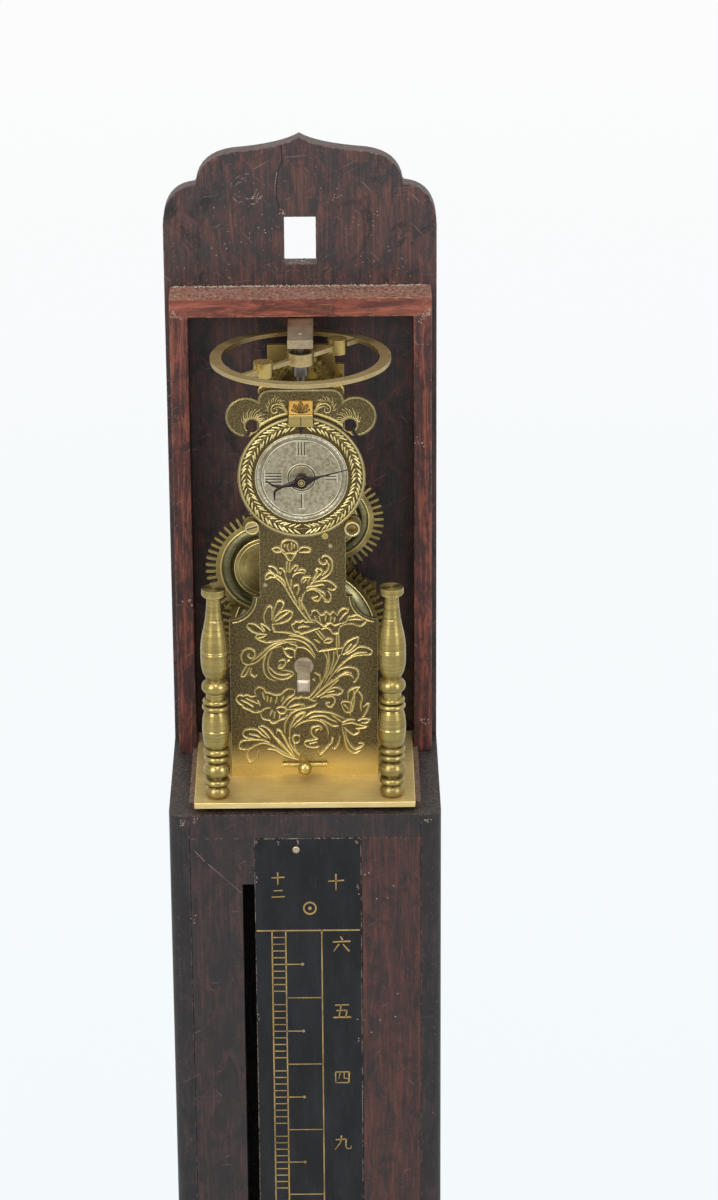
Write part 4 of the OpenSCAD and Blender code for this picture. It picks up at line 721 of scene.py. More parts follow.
LOWER_STROKES = [
    [(110, 170), (140, 148), (175, 158), (210, 148), (260, 165), (310, 160)],
    [(110, 170), (108, 200), (128, 232), (160, 250), (185, 280), (230, 300), (290, 325),
     (350, 320), (400, 290), (450, 280)],
    [(150, 200), (220, 230), (280, 270)],
    [(200, 180), (260, 210), (330, 240)],
    [(320, 200), (350, 260)],
    [(310, 160), (290, 110), (330, 70), (380, 85), (400, 120), (440, 128), (480, 145),
     (510, 150), (560, 145), (600, 110), (640, 90), (700, 100)],
    [(700, 100), (690, 150), (640, 180), (590, 230), (560, 270)],
    [(420, 160), (420, 220)],
    [(460, 170), (450, 230)],
    [(520, 170), (500, 240)],
    [(370, 120), (390, 200)],
    [(590, 160), (560, 220)],
    [(610, 270), (650, 220), (700, 185), (740, 186), (770, 172), (800, 186), (830, 180),
     (870, 210), (920, 215)],
    [(620, 300), (700, 300), (790, 290), (850, 280), (900, 265), (925, 240)],
    [(640, 280), (720, 255), (780, 250), (800, 270)],
    [(350, 340), (380, 395), (440, 408), (460, 432), (500, 435), (550, 405), (600, 390),
     (620, 350)],
    [(510, 290), (560, 270), (610, 290), (600, 330), (560, 340), (520, 310)],
    [(470, 300), (450, 360)],
    [(500, 320), (490, 390)],
    [(550, 345), (540, 395)],
    [(770, 300), (700, 320), (640, 370), (600, 450), (600, 540)],
    [(800, 340), (750, 350), (690, 410), (650, 500), (650, 600)],
    [(680, 390), (730, 350), (800, 330), (780, 380), (720, 430), (670, 480)],
    [(800, 380), (880, 330), (960, 325), (1060, 335), (1150, 370), (1210, 400)],
    [(700, 480), (780, 430), (880, 410), (960, 420), (1010, 460), (1040, 520), (1040, 560)],
    [(840, 390), (920, 370), (1000, 370), (1060, 400), (1130, 430)],
    [(960, 400), (1020, 430), (1090, 470), (1150, 470)],
    [(1080, 360), (1140, 400), (1180, 430)],
    [(1340, 420), (1400, 400), (1460, 410), (1430, 440), (1380, 440)],
    [(1180, 440), (1250, 410), (1320, 410)],
    [(1180, 460), (1280, 440), (1340, 460), (1430, 480), (1360, 500), (1320, 500)],
    [(1200, 480), (1240, 520), (1300, 560), (1350, 540), (1350, 510)],
    [(1180, 480), (1200, 560), (1220, 650), (1250, 710), (1310, 750), (1370, 720)],
    [(1210, 500), (1230, 600), (1270, 670), (1320, 710), (1390, 680), (1390, 650), (1350, 645)],
    [(1080, 580), (1070, 640), (1020, 700), (960, 760), (940, 720)],
    [(1160, 570), (1150, 640), (1110, 700), (1080, 690)],
    [(1090, 590), (1080, 650)],
    [(795, 640), (830, 620), (900, 610), (940, 600)],
    [(795, 645), (830, 680), (900, 690), (950, 680)],
    [(850, 650), (930, 630)],
    [(960, 510), (975, 490), (940, 470), (880, 490), (870, 540), (900, 580), (940, 600)],
    [(910, 540), (920, 510), (950, 500)],
    [(750, 590), (740, 565), (700, 565), (680, 600), (700, 640), (740, 630), (745, 605)],
    [(690, 640), (710, 710), (750, 780)],
    [(170, 550), (190, 510), (250, 495), (320, 510), (360, 550), (420, 590)],
    [(170, 550), (200, 580), (290, 600), (380, 610), (450, 640)],
    [(230, 545), (300, 560), (350, 580)],
    [(330, 470), (370, 465), (430, 500), (480, 560), (540, 640), (620, 730)],
    [(330, 475), (380, 520), (420, 560), (450, 600)],
    [(130, 660), (160, 620), (230, 605), (330, 610)],
    [(130, 660), (150, 695), (230, 700), (300, 660), (380, 640), (460, 660), (560, 720),
     (650, 770)],
    [(240, 700), (215, 750), (230, 810), (260, 830), (310, 780), (330, 710)],
    [(480, 560), (560, 640), (640, 740), (700, 800)],
    [(420, 700), (500, 710), (600, 770), (740, 815)],
    [(510, 540), (530, 505), (560, 530), (590, 590), (640, 690), (700, 780)],
    [(590, 560), (620, 640), (680, 740)],
    [(640, 580), (660, 660), (720, 750)],
    [(990, 150), (1050, 100), (1120, 80), (1190, 110), (1150, 150), (1080, 150), (1020, 165),
     (960, 180)],
    [(1030, 130), (1110, 110)],
    [(1020, 180), (1080, 170), (1110, 210), (1080, 270), (1040, 270), (1020, 240), (1060, 230)],
    [(830, 190), (900, 120), (950, 50), (980, 0)],
    [(870, 200), (960, 110), (1050, 30), (1080, 0)],
    [(920, 180), (1000, 130), (1100, 40), (1150, 0)],
    [(1240, 200), (1250, 130), (1300, 90), (1365, 75)],
    [(1365, 75), (1330, 110), (1290, 200), (1270, 300), (1270, 370)],
    [(1340, 110), (1385, 180), (1370, 260), (1380, 320)],
    [(1170, 240), (1200, 225), (1260, 230), (1290, 280), (1270, 330), (1220, 330), (1190, 290),
     (1170, 240)],
    [(1200, 250), (1250, 300)],
    [(1400, 280), (1450, 245), (1440, 310), (1400, 380), (1360, 420)],
    [(1300, 100), (1310, 200), (1290, 330)],
]
UPPER_STROKES = [
    [(440, 330), (380, 280), (360, 210), (400, 130), (480, 95), (560, 100), (640, 150),
     (670, 220), (660, 290)],
    [(490, 160), (480, 240), (500, 300)],
    [(550, 150), (560, 230), (540, 300)],
    [(600, 180), (610, 250)],
    [(430, 170), (420, 240)],
    [(440, 345), (520, 340), (600, 345), (670, 300)],
    [(200, 250), (250, 235), (310, 240), (370, 300), (310, 320), (250, 320), (200, 275),
     (200, 250)],
    [(680, 300), (740, 240), (840, 235), (905, 270), (880, 320), (780, 325), (700, 330)],
    [(380, 320), (440, 380), (480, 450), (530, 485)],
    [(650, 340), (600, 400), (550, 480)],
    [(470, 490), (460, 600), (470, 700)],
    [(520, 490), (510, 620), (500, 700)],
    [(120, 580), (200, 590), (260, 640), (310, 730)],
    [(125, 640), (180, 700), (230, 720)],
    [(320, 610), (380, 630), (420, 700), (430, 760)],
    [(330, 680), (350, 740)],
    [(60, 850), (70, 760), (130, 710), (200, 730), (280, 790)],
    [(90, 830), (160, 790), (240, 790), (320, 840), (400, 920), (460, 1020), (540, 1160),
     (620, 1290), (690, 1400)],
    [(230, 720), (320, 780), (400, 860), (450, 960)],
    [(440, 760), (470, 880), (520, 1000), (580, 1130), (650, 1260)],
    [(520, 700), (560, 630), (620, 580), (680, 570)],
    [(680, 575), (650, 640), (600, 680)],
    [(680, 660), (760, 645), (825, 690)],
    [(560, 790), (620, 730), (700, 700), (800, 715)],
    [(550, 820), (540, 900), (545, 1000)],
    [(730, 910), (740, 850), (800, 795), (890, 795), (870, 860), (840, 920)],
    [(590, 1000), (610, 950), (670, 930), (700, 970)],
    [(680, 970), (680, 1040), (650, 1120)],
    [(770, 900), (830, 830)],
    [(1105, 440), (1150, 400), (1220, 400), (1290, 470), (1310, 560), (1300, 660), (1240, 750),
     (1160, 800), (1090, 830)],
    [(1070, 440), (1065, 500), (1110, 545), (1170, 550), (1210, 510), (1190, 465)],
    [(1220, 520), (1250, 580), (1230, 660), (1180, 710), (1120, 760)],
    [(990, 660), (1040, 630), (1110, 670), (1110, 720), (1050, 770), (950, 880), (890, 940)],
    [(990, 665), (1030, 690), (1000, 760), (930, 860)],
    [(820, 990), (900, 960), (1000, 950), (1100, 930), (1160, 940)],
    [(900, 930), (1000, 880), (1080, 865), (1200, 860), (1290, 890), (1360, 950), (1380, 990),
     (1330, 1035), (1260, 1020), (1220, 990)],
    [(830, 1050), (880, 1025), (960, 1020), (1030, 1060)],
    [(880, 1000), (980, 1000), (1080, 1040), (1150, 1090), (1190, 1150)],
    [(1010, 1040), (1080, 1090), (1100, 1150), (1060, 1230), (990, 1230), (940, 1180),
     (1000, 1170), (1040, 1140)],
    [(1120, 1120), (1150, 1180), (1220, 1250)],
    [(1230, 1050), (1280, 1130), (1270, 1230), (1220, 1260), (1160, 1240)],
    [(800, 1060), (760, 1160), (740, 1280), (760, 1400)],
    [(700, 1160), (690, 1260), (720, 1400)],
]
# each enlargement: its strokes, its left top corner in the photograph and its zoom
ENLARGEMENTS = ((MIDDLE_STROKES, (226, 600), 10.18), (LOWER_STROKES, (226, 680), 10.18),
                (UPPER_STROKES, (262, 535), 18.67))
HEIGHTS = (60, 40, 20, 4)  # mm, from the top down
ROWS_ABOVE, ROWS_BELOW = 3.65, 3.52  # rows per mm beyond the highest and lowest of them


def plate_at(z):
    """A height's row, the plate's middle column, and pixels per mm in steps of 0.005."""
    (left, _), (end, _), (middle, row) = (in_photo(x, FRONT_Y, z) for x in (-10, 10, 0))
    return round(row, 1), round(middle, 1), math.floor((end - left) * 10) / 200


rows, middles, sizes = zip(*(plate_at(z) for z in HEIGHTS))
print("rows", rows, "middle columns", middles, "pixels per mm", sizes)


def on_front_plate(column, row):
    """The x and height, to a tenth of a mm, of a place in the photograph."""
    z = float(np.interp(row, rows, HEIGHTS))
    if row < rows[0]:
        z = HEIGHTS[0] + (rows[0] - row) / ROWS_ABOVE
    if row > rows[-1]:
        z = HEIGHTS[-1] - (row - rows[-1]) / ROWS_BELOW
    middle, size = (float(np.interp(z, HEIGHTS[::-1], values[::-1]))
                    for values in (middles, sizes))
    return round((column - middle) / size, 1), round(z, 1)


strokes = []
for typed, (left, top), zoom in ENLARGEMENTS:
    for stroke in typed:
        points = [on_front_plate(left + a / zoom, top + b / zoom) for a, b in stroke]
        strokes.append([p for p, before in zip(points, [None] + points) if p != before])
print("strokes:", len(strokes), "with", sum(map(len, strokes)), "points")

# %% [markdown]
# Each stroke is a thin line on a wider, low swell. A height field keeps the crossings
# simple, since the higher stroke always wins. The field is cut to the plate's outline,
# with its hollow shoulders, and round the holes in which the arbors turn.

# %% Peony scroll
PLATE_HALF, NECK_HALF, NECK_FOOT_Z = 18.5, 10.5, 40
HOLLOW_X, HOLLOW_Z, HOLLOW_R, LINE_R = 19, 49.9, 6.8, 7.15
scroll = Relief(-18.9, 18.9, 3.4, 67.2, 0.1)
for width, height in ((0.5, 0.13), (0.16, 0.36)):
    for points in strokes:
        ridge(scroll, points, width, height)
x, z = np.meshgrid(scroll.x, scroll.z)
outline = (np.abs(x) < PLATE_HALF) & (z < HOLLOW_Z)
outline &= np.hypot(np.abs(x) - HOLLOW_X, z - HOLLOW_Z) > HOLLOW_R
outline |= (np.abs(x) < NECK_HALF) & (z >= NECK_FOOT_Z)
for name, radius in (("great_wheel", 3.0), ("second_wheel", 1.1), ("third_wheel", 0.8)):
    hole = WHEELS[name][1]
    outline &= np.hypot(x - hole[0], z - hole[1]) > radius
for side in (-1, 1):  # a burnished line follows each hollow shoulder
    hollow = [(side * (HOLLOW_X - LINE_R * math.cos(turn)), HOLLOW_Z - LINE_R * math.sin(turn))
              for turn in np.radians(np.linspace(4, 82, 9))]
    stem(scroll, hollow, 0.22, 0.22, 0.3)
scroll.h = np.where(outline, scroll.h, 0)
soften(scroll)
raised_shell("peony_scroll", scroll, on_plate(FRONT_Y), chased_brass)

# %% [markdown]
# ## Engraved cresting
# Above the dial the plate spreads into two ears. A burnished line follows the outline,
# each ear's eye has a fan of graver's cuts, and beside the index block stand two small
# volutes with feathered backs. Graver's cuts throw up a burr, so here they are thin
# raised strokes, drawn once and mirrored.

# %% Cresting
BEND_X, BEND_Z, BEND_R = 7.8, 102.7, 3.0  # the rounded corner of the plate's head
HEAD_HALF, HEAD_Z = 10.8, 105.7
EAR_X, EAR_Z, EAR_R = 13.8, 98.5, 5.2
EYE_X, EYE_Z, EYE_R = 12.3, 96.2, 1.65
ARCH_R = 16.95
crest = Relief(-19.2, 19.2, 88.0, 106.0, 0.1)
x, z = np.meshgrid(crest.x, crest.z)
bend = np.hypot(np.maximum(np.abs(x) - BEND_X, 0), np.maximum(z - BEND_Z, 0)) - BEND_R
head = np.maximum(np.abs(x) - HEAD_HALF, z - HEAD_Z)
head = np.where((np.abs(x) > BEND_X) & (z > BEND_Z), bend, head)
ear = np.hypot(np.abs(x) - EAR_X, z - EAR_Z) - EAR_R
depth = -np.minimum(head, ear)
eye = np.hypot(np.abs(x) - EYE_X, z - EYE_Z) - EYE_R
dial_gap = np.hypot(x, z - DIAL_Z) - DIAL_R
crest.h = np.maximum(0.11 * np.exp(-((depth - 0.36) / 0.17) ** 2),
                     0.14 * np.exp(-((eye - 0.3) / 0.14) ** 2))
crest.h = np.where(crest.h > 0.03, crest.h, 0)
for side in (-1, 1):
    # centre, inner radius, shortest and longest reach, first and last turn, count of cuts
    for centre, inner_r, low_r, high_r, turn0, turn1, count in (
            ((EYE_X, EYE_Z), 2.2, 3.2, 4.8, 20, 165, 14),
            ((6.3, 100.75), 1.9, 2.5, 3.3, -20, 165, 13)):
        for k in range(count):
            turn = math.radians(turn0 + (turn1 - turn0) * k / (count - 1))
            reach = low_r + (high_r - low_r) * math.sin(math.pi * (k + 0.5) / count)
            reach -= 0.5 * (math.sin(2.7 * k) > 0.2)
            points = [(centre[0] + r * math.cos(turn + lag), centre[1] + r * math.sin(turn + lag))
                      for r, lag in ((inner_r, 0), ((inner_r + reach) / 2, 0.1), (reach, 0.3))]
            stem(crest, [(side * a, b) for a, b in points], 0.16, 0.06, 0.17)
    volute = [(3.3, 99.9), (4.4, 101.4), (6.0, 101.95), (7.2, 101.35), (7.45, 100.2),
              (6.8, 99.55), (6.0, 99.85), (6.05, 100.6)]
    stem(crest, [(side * a, b) for a, b in volute], 0.24, 0.16, 0.24)
    stem(crest, [(side * a, b) for a, b in ((3.3, 99.2), (4.5, 100.6), (5.6, 101.2))], 0.18,
         0.1, 0.2)
    stem(crest, [(side * (a - 0.25), b - 0.75) for a, b in volute[:4]], 0.2, 0.1, 0.16)
    arch = [(side * ARCH_R * math.cos(turn), DIAL_Z + ARCH_R * math.sin(turn))
            for turn in np.radians(np.linspace(32, 78, 9))]
    stem(crest, arch, 0.42, 0.42, 0.2)
    for k in range(7):
        turn = math.radians(50 + 3.6 * k)
        stem(crest, [(side * 16.75 * math.cos(turn), DIAL_Z + 16.75 * math.sin(turn)),
                     (side * (17.5 * math.cos(turn) - 0.1), DIAL_Z + 18.1 * math.sin(turn))],
             0.14, 0.06, 0.12)
slant = math.radians(62)  # a slit runs from each eye outwards and down
slit = np.abs((np.abs(x) - EYE_X) * math.sin(slant) + (z - EYE_Z) * math.cos(slant)) < 0.62
slit &= (z < EYE_Z) & (np.abs(x) > EYE_X)
crest.h[(depth < 0.12) | (eye < 0.12) | (dial_gap < 0.15) | slit
        | ((np.abs(x) < 3.15) & (z < 103.4))] = 0
raised_shell("cresting_engraving", crest, on_plate(FRONT_Y), chased_brass)

# %% [markdown]
# ## Dial
# The dial is framed by a wreath whose leaves hang in pairs from a ring-shaped stem, from
# the top down both sides. Thirty-two pairs a side, 1.36 mm apart, fill it. Each leaf leaves
# the stem at a slant and bends back, so one small curve, turned about the centre, makes
# them all.

# %% Wreath
PAIRS = 32
wreath = Relief(-DIAL_R, DIAL_R, DIAL_Z - DIAL_R, DIAL_Z + DIAL_R, 0.12)


def on_ring(radius, turn):
    return radius * math.cos(turn), DIAL_Z + radius * math.sin(turn)


for side in (-1, 1):
    down = -side
    for k in range(PAIRS):
        turn = math.pi / 2 - side * (0.1 + k * (math.pi - 0.16) / PAIRS)
        lean = 0.012 * math.sin(2.1 * k)
        for r0, r1, r2, w in ((14.25, 14.7, 15.2, 0.25), (13.6, 13.15, 12.65, 0.23)):
            points = [on_ring(r0, turn + lean), on_ring(r1, turn + down * 0.05 + lean),
                      on_ring(r2, turn + down * 0.115 + lean)]
            part, away, t = nearest(wreath, smooth_path(points, 30), w + 0.2)
            s = np.clip(away / (w * (0.5 + 0.75 * np.sin(np.pi * t ** 0.8))), 0, 1)
            wreath.raise_to(part, 0.34 * np.sqrt(1 - s ** 2))
x, z = np.meshgrid(wreath.x, wreath.z)
r = np.hypot(x, z - DIAL_Z)
wreath.h = np.maximum(wreath.h, 0.1 * np.clip(1 - np.abs(r - 13.92) / 0.13, 0, 1) ** 0.5)
wreath.h = np.maximum(wreath.h, 0.2 * np.clip(1 - np.abs(r - 15.75) / 0.36, 0, 1) ** 0.5)
block_shadow = (np.abs(x) < 3.3) & (z > 96.8)
wreath.h[(r > 16.1) | (r < 11.95) | block_shadow] = 0
raised_shell("dial_wreath", wreath, on_plate(DIAL_FACE_Y), dial_brass)

# %% [markdown]
# ## Chapter ring and numerals
# The silvered disc is engraved: bright double rings, a band cut into small divisions, and
# quarter numerals of plain bars between hairlines. An engraved line reads as a dark line
# with a bright edge, so each becomes a thin inlay of black wax, 0.03 mm proud, beside a
# thin strip of silver that is a painted highlight on the cut's edge.

# %% Thin inlays
SUNK = 0.05  # mm, how far an inlay reaches into its face


def inlay(name, outlines, face_y, finish, proud=0.03):
    """Flat closed prisms, one for each outline of x and height, on a face."""
    points, faces = [], []
    for outline in outlines:
        area = sum(a[0] * b[1] - b[0] * a[1]
                   for a, b in zip(outline, outline[1:] + outline[:1]))
        outline = outline if area > 0 else outline[::-1]
        base, count = len(points), len(outline)
        points += [place(a, face_y - proud, b) for a, b in outline]
        points += [place(a, face_y + SUNK, b) for a, b in outline]
        faces.append([base + k for k in range(count)])
        faces.append([base + count + k for k in reversed(range(count))])
        for k in range(count):
            after = (k + 1) % count
            faces.append((base + k, base + count + k, base + count + after, base + after))
    add_piece(name, points, faces, finish, smooth=False)


def bar(start, end, width0, width1=None):
    """A four-cornered stroke between two points."""
    a, b = Vector(start), Vector(end)
    across = (b - a).normalized().orthogonal() / 2
    width1 = width0 if width1 is None else width1
    return [tuple(p) for p in (a - across * width0, b - across * width1,
                               b + across * width1, a + across * width0)]


def dot(x, z, radius, corners):
    turns = (2 * math.pi * i / corners for i in range(corners))
    return [(x + radius * math.cos(turn), z + radius * math.sin(turn)) for turn in turns]


def turned(profile, centre, count=40):
    """A piece turned about an axis along Y: points of radius and y."""
    points, faces = [], []
    for k in range(count):
        turn = 2 * math.pi * k / count
        points += [(centre[0] + r * math.cos(turn), y, centre[1] + r * math.sin(turn))
                   for r, y in profile]
    n = len(profile)
    for k in range(count):
        a, b = k * n, (k + 1) % count * n
        faces += [(a + i, a + (i + 1) % n, b + (i + 1) % n, b + i) for i in range(n)]
    return points, faces


def join(shapes):
    points, faces = [], []
    for some_points, some_faces in shapes:
        base = len(points)
        points += [place(*p) for p in some_points]
        faces += [tuple(base + i for i in f) for f in some_faces]
    return points, faces


# sections of a ring, in parts of its width and of its height
ROUND_TOP = [(-0.5, -0.05), (-0.5, 0.3), (-0.25, 0.9), (0, 1.0), (0.25, 0.9), (0.5, 0.3),
             (0.5, -0.05)]
FLAT_TOP = [(-0.5, -0.5), (-0.5, 1.0), (0.5, 1.0), (0.5, -0.5)]


def ring_band(name, radius, width, face_y, finish, height, body="case", count=144,
              centre=(0, DIAL_Z), profile=ROUND_TOP):
    """A raised ring about centre, closed all round."""
    section = [(radius + along * width, face_y - up * height) for along, up in profile]
    add_piece(name, *join([turned(section, centre, count)]), finish, body)


for number, (radius, width) in enumerate(((11.72, 0.2), (10.06, 0.26), (3.65, 0.26),
                                          (3.12, 0.2))):
    ring_band(f"chapter_ring_line_{number}", radius, width, CHAPTER_FACE_Y, silver_rings_and_highlights, 0.16)
for number, radius in enumerate((10.24, 3.39)):
    ring_band(f"chapter_ring_groove_{number}", radius, 0.2, CHAPTER_FACE_Y, wax_fill_and_painted_shade,
              0.03, profile=FLAT_TOP)
divisions = []
LOW_R, HIGH_R = 10.6, 11.5
for k in range(48):
    turn = 2 * math.pi * k / 48 + 0.03
    divisions.append(bar(on_ring(LOW_R, turn), on_ring(HIGH_R, turn), 0.1))
    if k % 4 == 0:
        divisions.append(bar(on_ring(LOW_R, turn + 0.02), on_ring(HIGH_R, turn + 0.02), 0.1))
inlay("chapter_divisions", divisions, CHAPTER_FACE_Y, faint_fill)
ring_band("chapter_band", 11.03, 0.9, CHAPTER_FACE_Y, band_silver, 0.012, profile=FLAT_TOP)

bars, highlights_and_hairlines = [], []
BAR_GAP, HIGHLIGHT_ASIDE = 0.78, 0.27
for turn, count, r0, r1 in ((90, 3, 6.0, 9.6), (180, 4, 5.0, 9.2), (270, 1, 4.3, 8.2),
                            (0, 2, 6.0, 8.9)):
    out = Vector((math.cos(math.radians(turn)), math.sin(math.radians(turn))))
    side = Vector((-out.y, out.x))
    middle = Vector((0, DIAL_Z))
    for k in range(count):
        shift = side * (k - (count - 1) / 2) * BAR_GAP
        bars.append(bar(middle + out * r0 + shift, middle + out * r1 + shift, 0.3))
        # beside each bar a silver strip: a painted highlight on the cut's edge
        highlights_and_hairlines.append(bar(middle + out * r0 + shift + side * HIGHLIGHT_ASIDE,
                           middle + out * r1 + shift + side * HIGHLIGHT_ASIDE, 0.24))
    half = side * (count * BAR_GAP / 2 + 0.5)
    for r in (r0 - 0.1, r1 + 0.1):
        highlights_and_hairlines.append(bar(middle + out * r - half, middle + out * r + half, 0.18))
inlay("numeral_bars", bars, CHAPTER_FACE_Y, wax_fill_and_painted_shade)
inlay("numeral_highlights_and_hairlines", highlights_and_hairlines, CHAPTER_FACE_Y, silver_rings_and_highlights, proud=0.05)
# a dark ring round the hand's arbor on the dial: painted shade
ring_band("painted_shade_round_hand_arbor", 1.15, 0.5, CHAPTER_FACE_Y, wax_fill_and_painted_shade, 0.05, profile=FLAT_TOP)
print("divisions:", len(divisions), "numeral strokes:", len(bars))

# %% [markdown]
# ## Turned grooves of wheels and clamps
# Each wheel's face has a polished rim inside the teeth and another nearer the centre, with
# a shallow groove between them where green tarnish stays. The hollow clamp collar shows a
# dark ring of painted shade about its pin; the clamp screw's slot and the hand's pin get
# painted shade too, and the slot a painted highlight along one edge.

# %% Rims and grooves
for name, (body, centre, radius, face_y) in WHEELS.items():
    for part, middle, width, finish, height, profile in (
            ("outer_rim", radius - 1.3, 0.5, wheel_rim, 0.16, ROUND_TOP),
            ("groove", 0.5 * (radius * 1.62 - 1.3), radius * 0.38 - 1.5, wheel_dish, 0.02,
             FLAT_TOP),
            ("inner_rim", 0.62 * radius, 0.45, wheel_rim, 0.16, ROUND_TOP),
            ("centre_rim", 0.55 * radius, 0.32, wheel_rim, 0.12, ROUND_TOP)):
        ring_band(f"{name}_{part}", middle, width, face_y, finish, height, body,
                  centre=centre, profile=profile)
CLAMP_X, CLAMP_Z = 12.71, 69.54
# the dark ring in the hollow collar round its pin is painted shade
ring_band("collar_painted_shade", 1.24, 0.4, COLLAR_Y, wax_fill_and_painted_shade, 0.03, count=48,
          centre=(CLAMP_X, CLAMP_Z), profile=FLAT_TOP)
ring_band("collar_rim", 1.68, 0.34, COLLAR_Y, wheel_rim, 0.1, count=48,
          centre=(CLAMP_X, CLAMP_Z))
ring_band("clamp_screw_rim", 1.58, 0.26, SCREW_Y, wheel_rim, 0.08, count=48,
          centre=(-CLAMP_X, CLAMP_Z))
along = Vector((math.cos(math.radians(18)), math.sin(math.radians(18)))) * 1.4
middle = Vector((-CLAMP_X, CLAMP_Z))
aside = Vector((-0.12, 0.34))
# the screw's slot is a black inlay: painted shade in the slot
inlay("clamp_screw_slot", [bar(middle - along, middle + along, 0.42)], SCREW_Y, wax_fill_and_painted_shade)
# a silver strip along the slot: a painted highlight on its edge
inlay("clamp_slot_painted_highlight", [bar(middle - along + aside, middle + along + aside, 0.2)], SCREW_Y,
      silver_rings_and_highlights)
inlay("index_block_line", [bar((0, 97.3), (0, 99.9), 0.22)], BLOCK_Y, wax_fill_and_painted_shade)
pin_end = min(v.co.y for v in parts["dial_arbor"].data.vertices) / MM
# a dark ring round the hand's pin: painted shade
ring_band("hand_pin_painted_shade", 0.62, 0.3, pin_end, wax_fill_and_painted_shade, 0.03, "dial_train", 32,
          profile=FLAT_TOP)
print("rims and grooves on", len(WHEELS), "wheels")

# %% [markdown]
# ## Hand
# The hand is forged steel: a long thin point, a leaf-shaped boss and a tail that forks
# into two curling prongs. A flat cut-out would miss its ridge, so each limb is lofted
# along a curve with a six-sided section that is highest in the middle. It replaces the
# flat CAD hand, which stays in the physics, hidden.

# %% Forged hand
def limb(path, widths, thickness):
    """A closed bar along x and height points, ridged in front."""
    path = smooth_path(path, 36)
    t = np.linspace(0, 1, len(path))
    half = np.interp(t, np.linspace(0, 1, len(widths)), widths) / 2
    along = np.gradient(path, axis=0)
    along /= np.linalg.norm(along, axis=1)[:, None]
    across = np.stack([-along[:, 1], along[:, 0]], 1)
    section = [(1, 0), (0.75, -0.55), (0, -1), (-0.75, -0.55), (-1, 0), (0, 0.6)]
    points, faces = [], []
    for (px, pz), (ax, az), h in zip(path, across, half):
        deep = thickness / 2 * min(1, 0.35 + h)
        points += [(px + ax * s * h, HAND_Y + d * deep, pz + az * s * h) for s, d in section]
    n = len(section)
    for k in range(len(path) - 1):
        for i in range(n):
            a, b = k * n, (k + 1) * n
            faces.append((a + i, a + (i + 1) % n, b + (i + 1) % n, b + i))
    faces.append(tuple(reversed(range(n))))
    faces.append(tuple(len(points) - n + i for i in range(n)))
    return points, faces


tip = math.radians(15.4)
ahead, up = Vector((math.cos(tip), math.sin(tip))), Vector((-math.sin(tip), math.cos(tip)))


def hand_point(a, b):
    spot = ahead * a + up * b
    return spot.x, spot.y + DIAL_Z


limbs = [limb([hand_point(1.0, 0), hand_point(4.2, 0.1), hand_point(8, 0.05),
               hand_point(12.1, 0)], [2.7, 1.35, 0.5, 0.42, 0.34, 0.26], 0.75),
         limb([hand_point(-1.0, 0), hand_point(-3.2, 0.15), hand_point(-5.6, 0.2)],
              [2.7, 1.5, 0.85, 0.75], 0.75),
         limb([hand_point(-5.2, 0.25), hand_point(-7.0, 1.0), hand_point(-8.6, 2.9)],
              [0.8, 0.7, 0.5, 0.28], 0.6),
         limb([hand_point(-5.2, 0.15), hand_point(-7.1, -0.6), hand_point(-7.9, -2.9)],
              [0.8, 0.75, 0.55, 0.3], 0.6),
         turned([(0.95, HAND_Y - 0.42), (1.25, HAND_Y - 0.45), (1.75, HAND_Y - 0.2),
                 (1.85, HAND_Y + 0.1), (1.75, HAND_Y + 0.3), (0.95, HAND_Y + 0.3)],
                (0, DIAL_Z))]
hand = add_piece("forged_hand", *join(limbs), blued_steel, "dial_train")
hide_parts("dial_hand")
print("hand reaches", round(max(v.co.x for v in hand.data.vertices) / MM, 2), "mm right")

# %% [markdown]
# ## Index block
# The small block above the dial holds the steel point that marks the time. Its sloping
# top carries a palmette of five petals, cut with the same tools as the scroll, but laid
# on a tilted face.

# %% Palmette
palmette = Relief(-3.0, 3.0, 0, 4.9, 0.08)
for turn, reach, w in ((90, 4.0, 0.6), (58, 3.7, 0.55), (122, 3.7, 0.55), (30, 3.1, 0.45),
                       (150, 3.1, 0.45)):
    a, b = math.cos(math.radians(turn)), math.sin(math.radians(turn))
    leaf(palmette, [(0.3 * a, 0.5 + 0.3 * b), (reach * 0.6 * a, 0.5 + reach * 0.6 * b),
                    (reach * a * 0.86, 0.5 + reach * b)], w, 0.2)
for z_line in (0.32, 4.55):
    stem(palmette, [(-2.85, z_line), (0, z_line), (2.85, z_line)], 0.14, 0.14, 0.14)
palmette.h = np.maximum(palmette.h, 0.02)
palmette.h[:, np.abs(palmette.x) > 2.93] = 0
slope = Vector((0, 4.0, 2.9)).normalized()
outward = Vector((0, -slope.z, slope.y))
foot = place(0, BLOCK_Y, 97.2 + 2.9)  # on top of the block's upright front
raised_shell("index_palmette", palmette,
             lambda a, b, h: foot + (Vector((a, 0, 0)) + slope * b + outward * h) * MM,
             cut_brass, sunk=0.08)

# %% [markdown]
# ## Gilding of the hour scale
# The double scale gives the unequal hours of day and night. Gold lines mark the hours,
# with ten small steps between them, and each line has its traditional numeral, written
# with a brush. A brush stroke is a flat shape that swells and tapers, so each stroke is
# listed by its ends and widths in a unit square and laid on the lacquer as a thin inlay.

